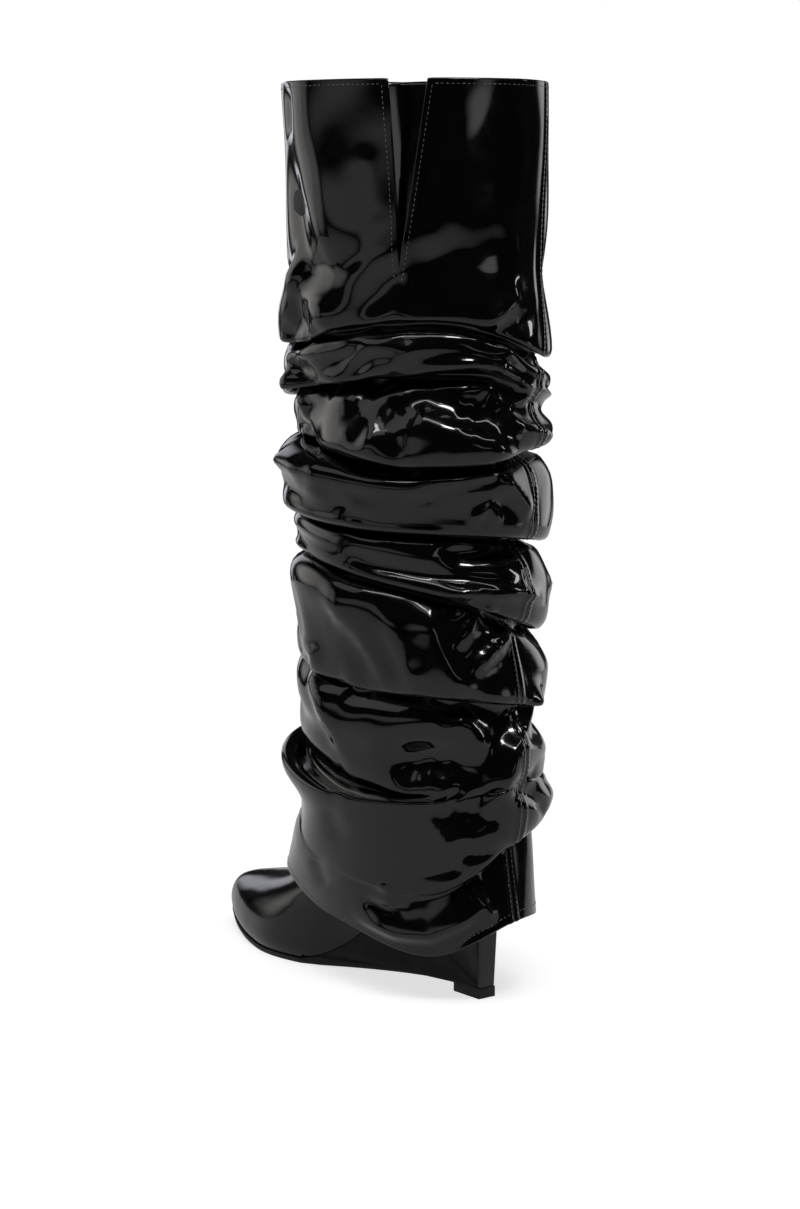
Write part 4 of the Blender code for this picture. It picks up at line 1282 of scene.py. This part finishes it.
def face_boot(thing, azimuth, elevation, away):
    """Sets a lamp or a screen down away from the boot, facing it."""
    turn, lift = math.radians(CAMERA_TURN + HALF_TURN - azimuth), math.radians(elevation)
    towards = Vector((math.cos(turn) * math.cos(lift), math.sin(turn) * math.cos(lift), math.sin(lift)))
    thing.location = Vector(LAMP_AIM) + towards * away
    thing.rotation_euler = towards.to_track_quat("Z", "Y").to_euler()


def soft_box(name, azimuth, elevation, away, size, glow, mirrored):
    """A lamp that faces the boot."""
    data = bpy.data.lights.new(name, "AREA")
    data.shape = "RECTANGLE"
    data.size, data.size_y = size
    data.energy = glow * math.pi * size[0] * size[1]
    lamp = linked(name, data)
    face_boot(lamp, azimuth, elevation, away)
    lamp.visible_glossy = mirrored


def soft_screen(name, azimuth, elevation, away, size, glow, tint):
    """A pale screen beside the boot that fades to nothing at its edge; only the boot's gloss sees it."""
    mesh = bmesh.new()
    bmesh.ops.create_grid(mesh, x_segments=2, y_segments=2, size=0.5)
    bmesh.ops.scale(mesh, verts=mesh.verts, vec=(size[0], size[1], 1.0))
    finish = Finish(name)
    place = finish.add("ShaderNodeVectorMath", {"operation": "DIVIDE"},
                       {0: finish.place(), 1: (size[0] / 2.0, size[1] / 2.0, 1.0)})
    fade = finish.fade(finish.reach(place), SCREEN_CORE, 1.0, glow, 0.0)
    finish.show(finish.add("ShaderNodeEmission", None, {"Color": (*tint, 1.0), "Strength": fade}))
    screen = linked(name, mesh_data(name, mesh))
    screen.data.materials.append(finish.material)
    face_boot(screen, azimuth, elevation, away)
    screen.visible_camera = screen.visible_diffuse = screen.visible_shadow = False


def make_floor():
    """A pale floor that fades to white away from the boot."""
    mesh = bmesh.new()
    bmesh.ops.create_grid(mesh, x_segments=4, y_segments=4, size=FLOOR_REACH)
    finish = Finish("pale_floor", Base_Color=(0.42, 0.42, 0.43, 1.0), Roughness=0.5, Specular_IOR_Level=0.2,
                    Emission_Color=(*WHITE, 1.0), Emission_Strength=0.72)
    reach = finish.reach(finish.place())
    shown = finish.add("ShaderNodeMixShader", None, {
        0: finish.fade(reach, *FLOOR_WHITE, 0.0, 1.0),
        1: Wire(finish, finish.shader.outputs[0]),
        2: finish.add("ShaderNodeEmission", None, {"Color": (*WHITE, 1.0)}),
    })
    near = finish.fade(reach, *FLOOR_MIRRORED, FLOOR_SHARE, 0.0)
    mirrored = finish.add("ShaderNodeAddShader", None, {
        0: finish.add("ShaderNodeBsdfDiffuse", None, {"Color": near * FLOOR_PALE}),
        1: finish.add("ShaderNodeEmission", None, {"Strength": near * FLOOR_GLOW}),
    })
    finish.show(finish.to_camera(shown, mirrored))
    floor = linked("floor", mesh_data("floor", mesh))
    floor.data.materials.append(finish.material)


def make_world():
    """White to the camera, and a dim room to the boot's gloss."""
    world = bpy.data.worlds.new("studio")
    world.use_nodes = True
    world.node_tree.nodes.clear()
    sky = Nodes(world.node_tree)
    white, room = (sky.add("ShaderNodeBackground", None, {"Color": (*tint, 1.0), "Strength": glow})
                   for tint, glow in ((WHITE, 1.0), (ROOM_TINT, ROOM_GLOW)))
    out = sky.tree.nodes.new("ShaderNodeOutputWorld")
    sky.feed(out.inputs["Surface"], sky.to_camera(white, room))
    bpy.context.scene.world = world


def make_studio():
    """The camera, the floor, the world, the lamps and the screens."""
    make_camera()
    make_floor()
    make_world()
    bpy.context.scene.view_settings.view_transform = "Standard"
    for lamp in LAMPS:
        soft_box(*lamp)
    for screen in SCREENS:
        soft_screen(*screen)


def main():
    """Builds every piece and the studio round them."""
    sleeve_patent = patent_leather("sleeve_patent")
    foot_patent = patent_leather("foot_patent", grain=0.7, waver=0.35, haze=0.09, coat=0.7)
    lining = lining_cloth()
    make_sleeve(sleeve_patent)
    make_lining(lining)
    make_binding(sleeve_patent)
    make_stitches(waxed_thread())
    make_gusset(sleeve_patent)
    make_upper(foot_patent)
    make_wedge(heel_cover())
    make_outsole(sole_rubber("outsole_rubber", 1.0))
    make_lift(sole_rubber("lift_rubber", 0.0))
    make_insole(lining)
    make_studio()


main()
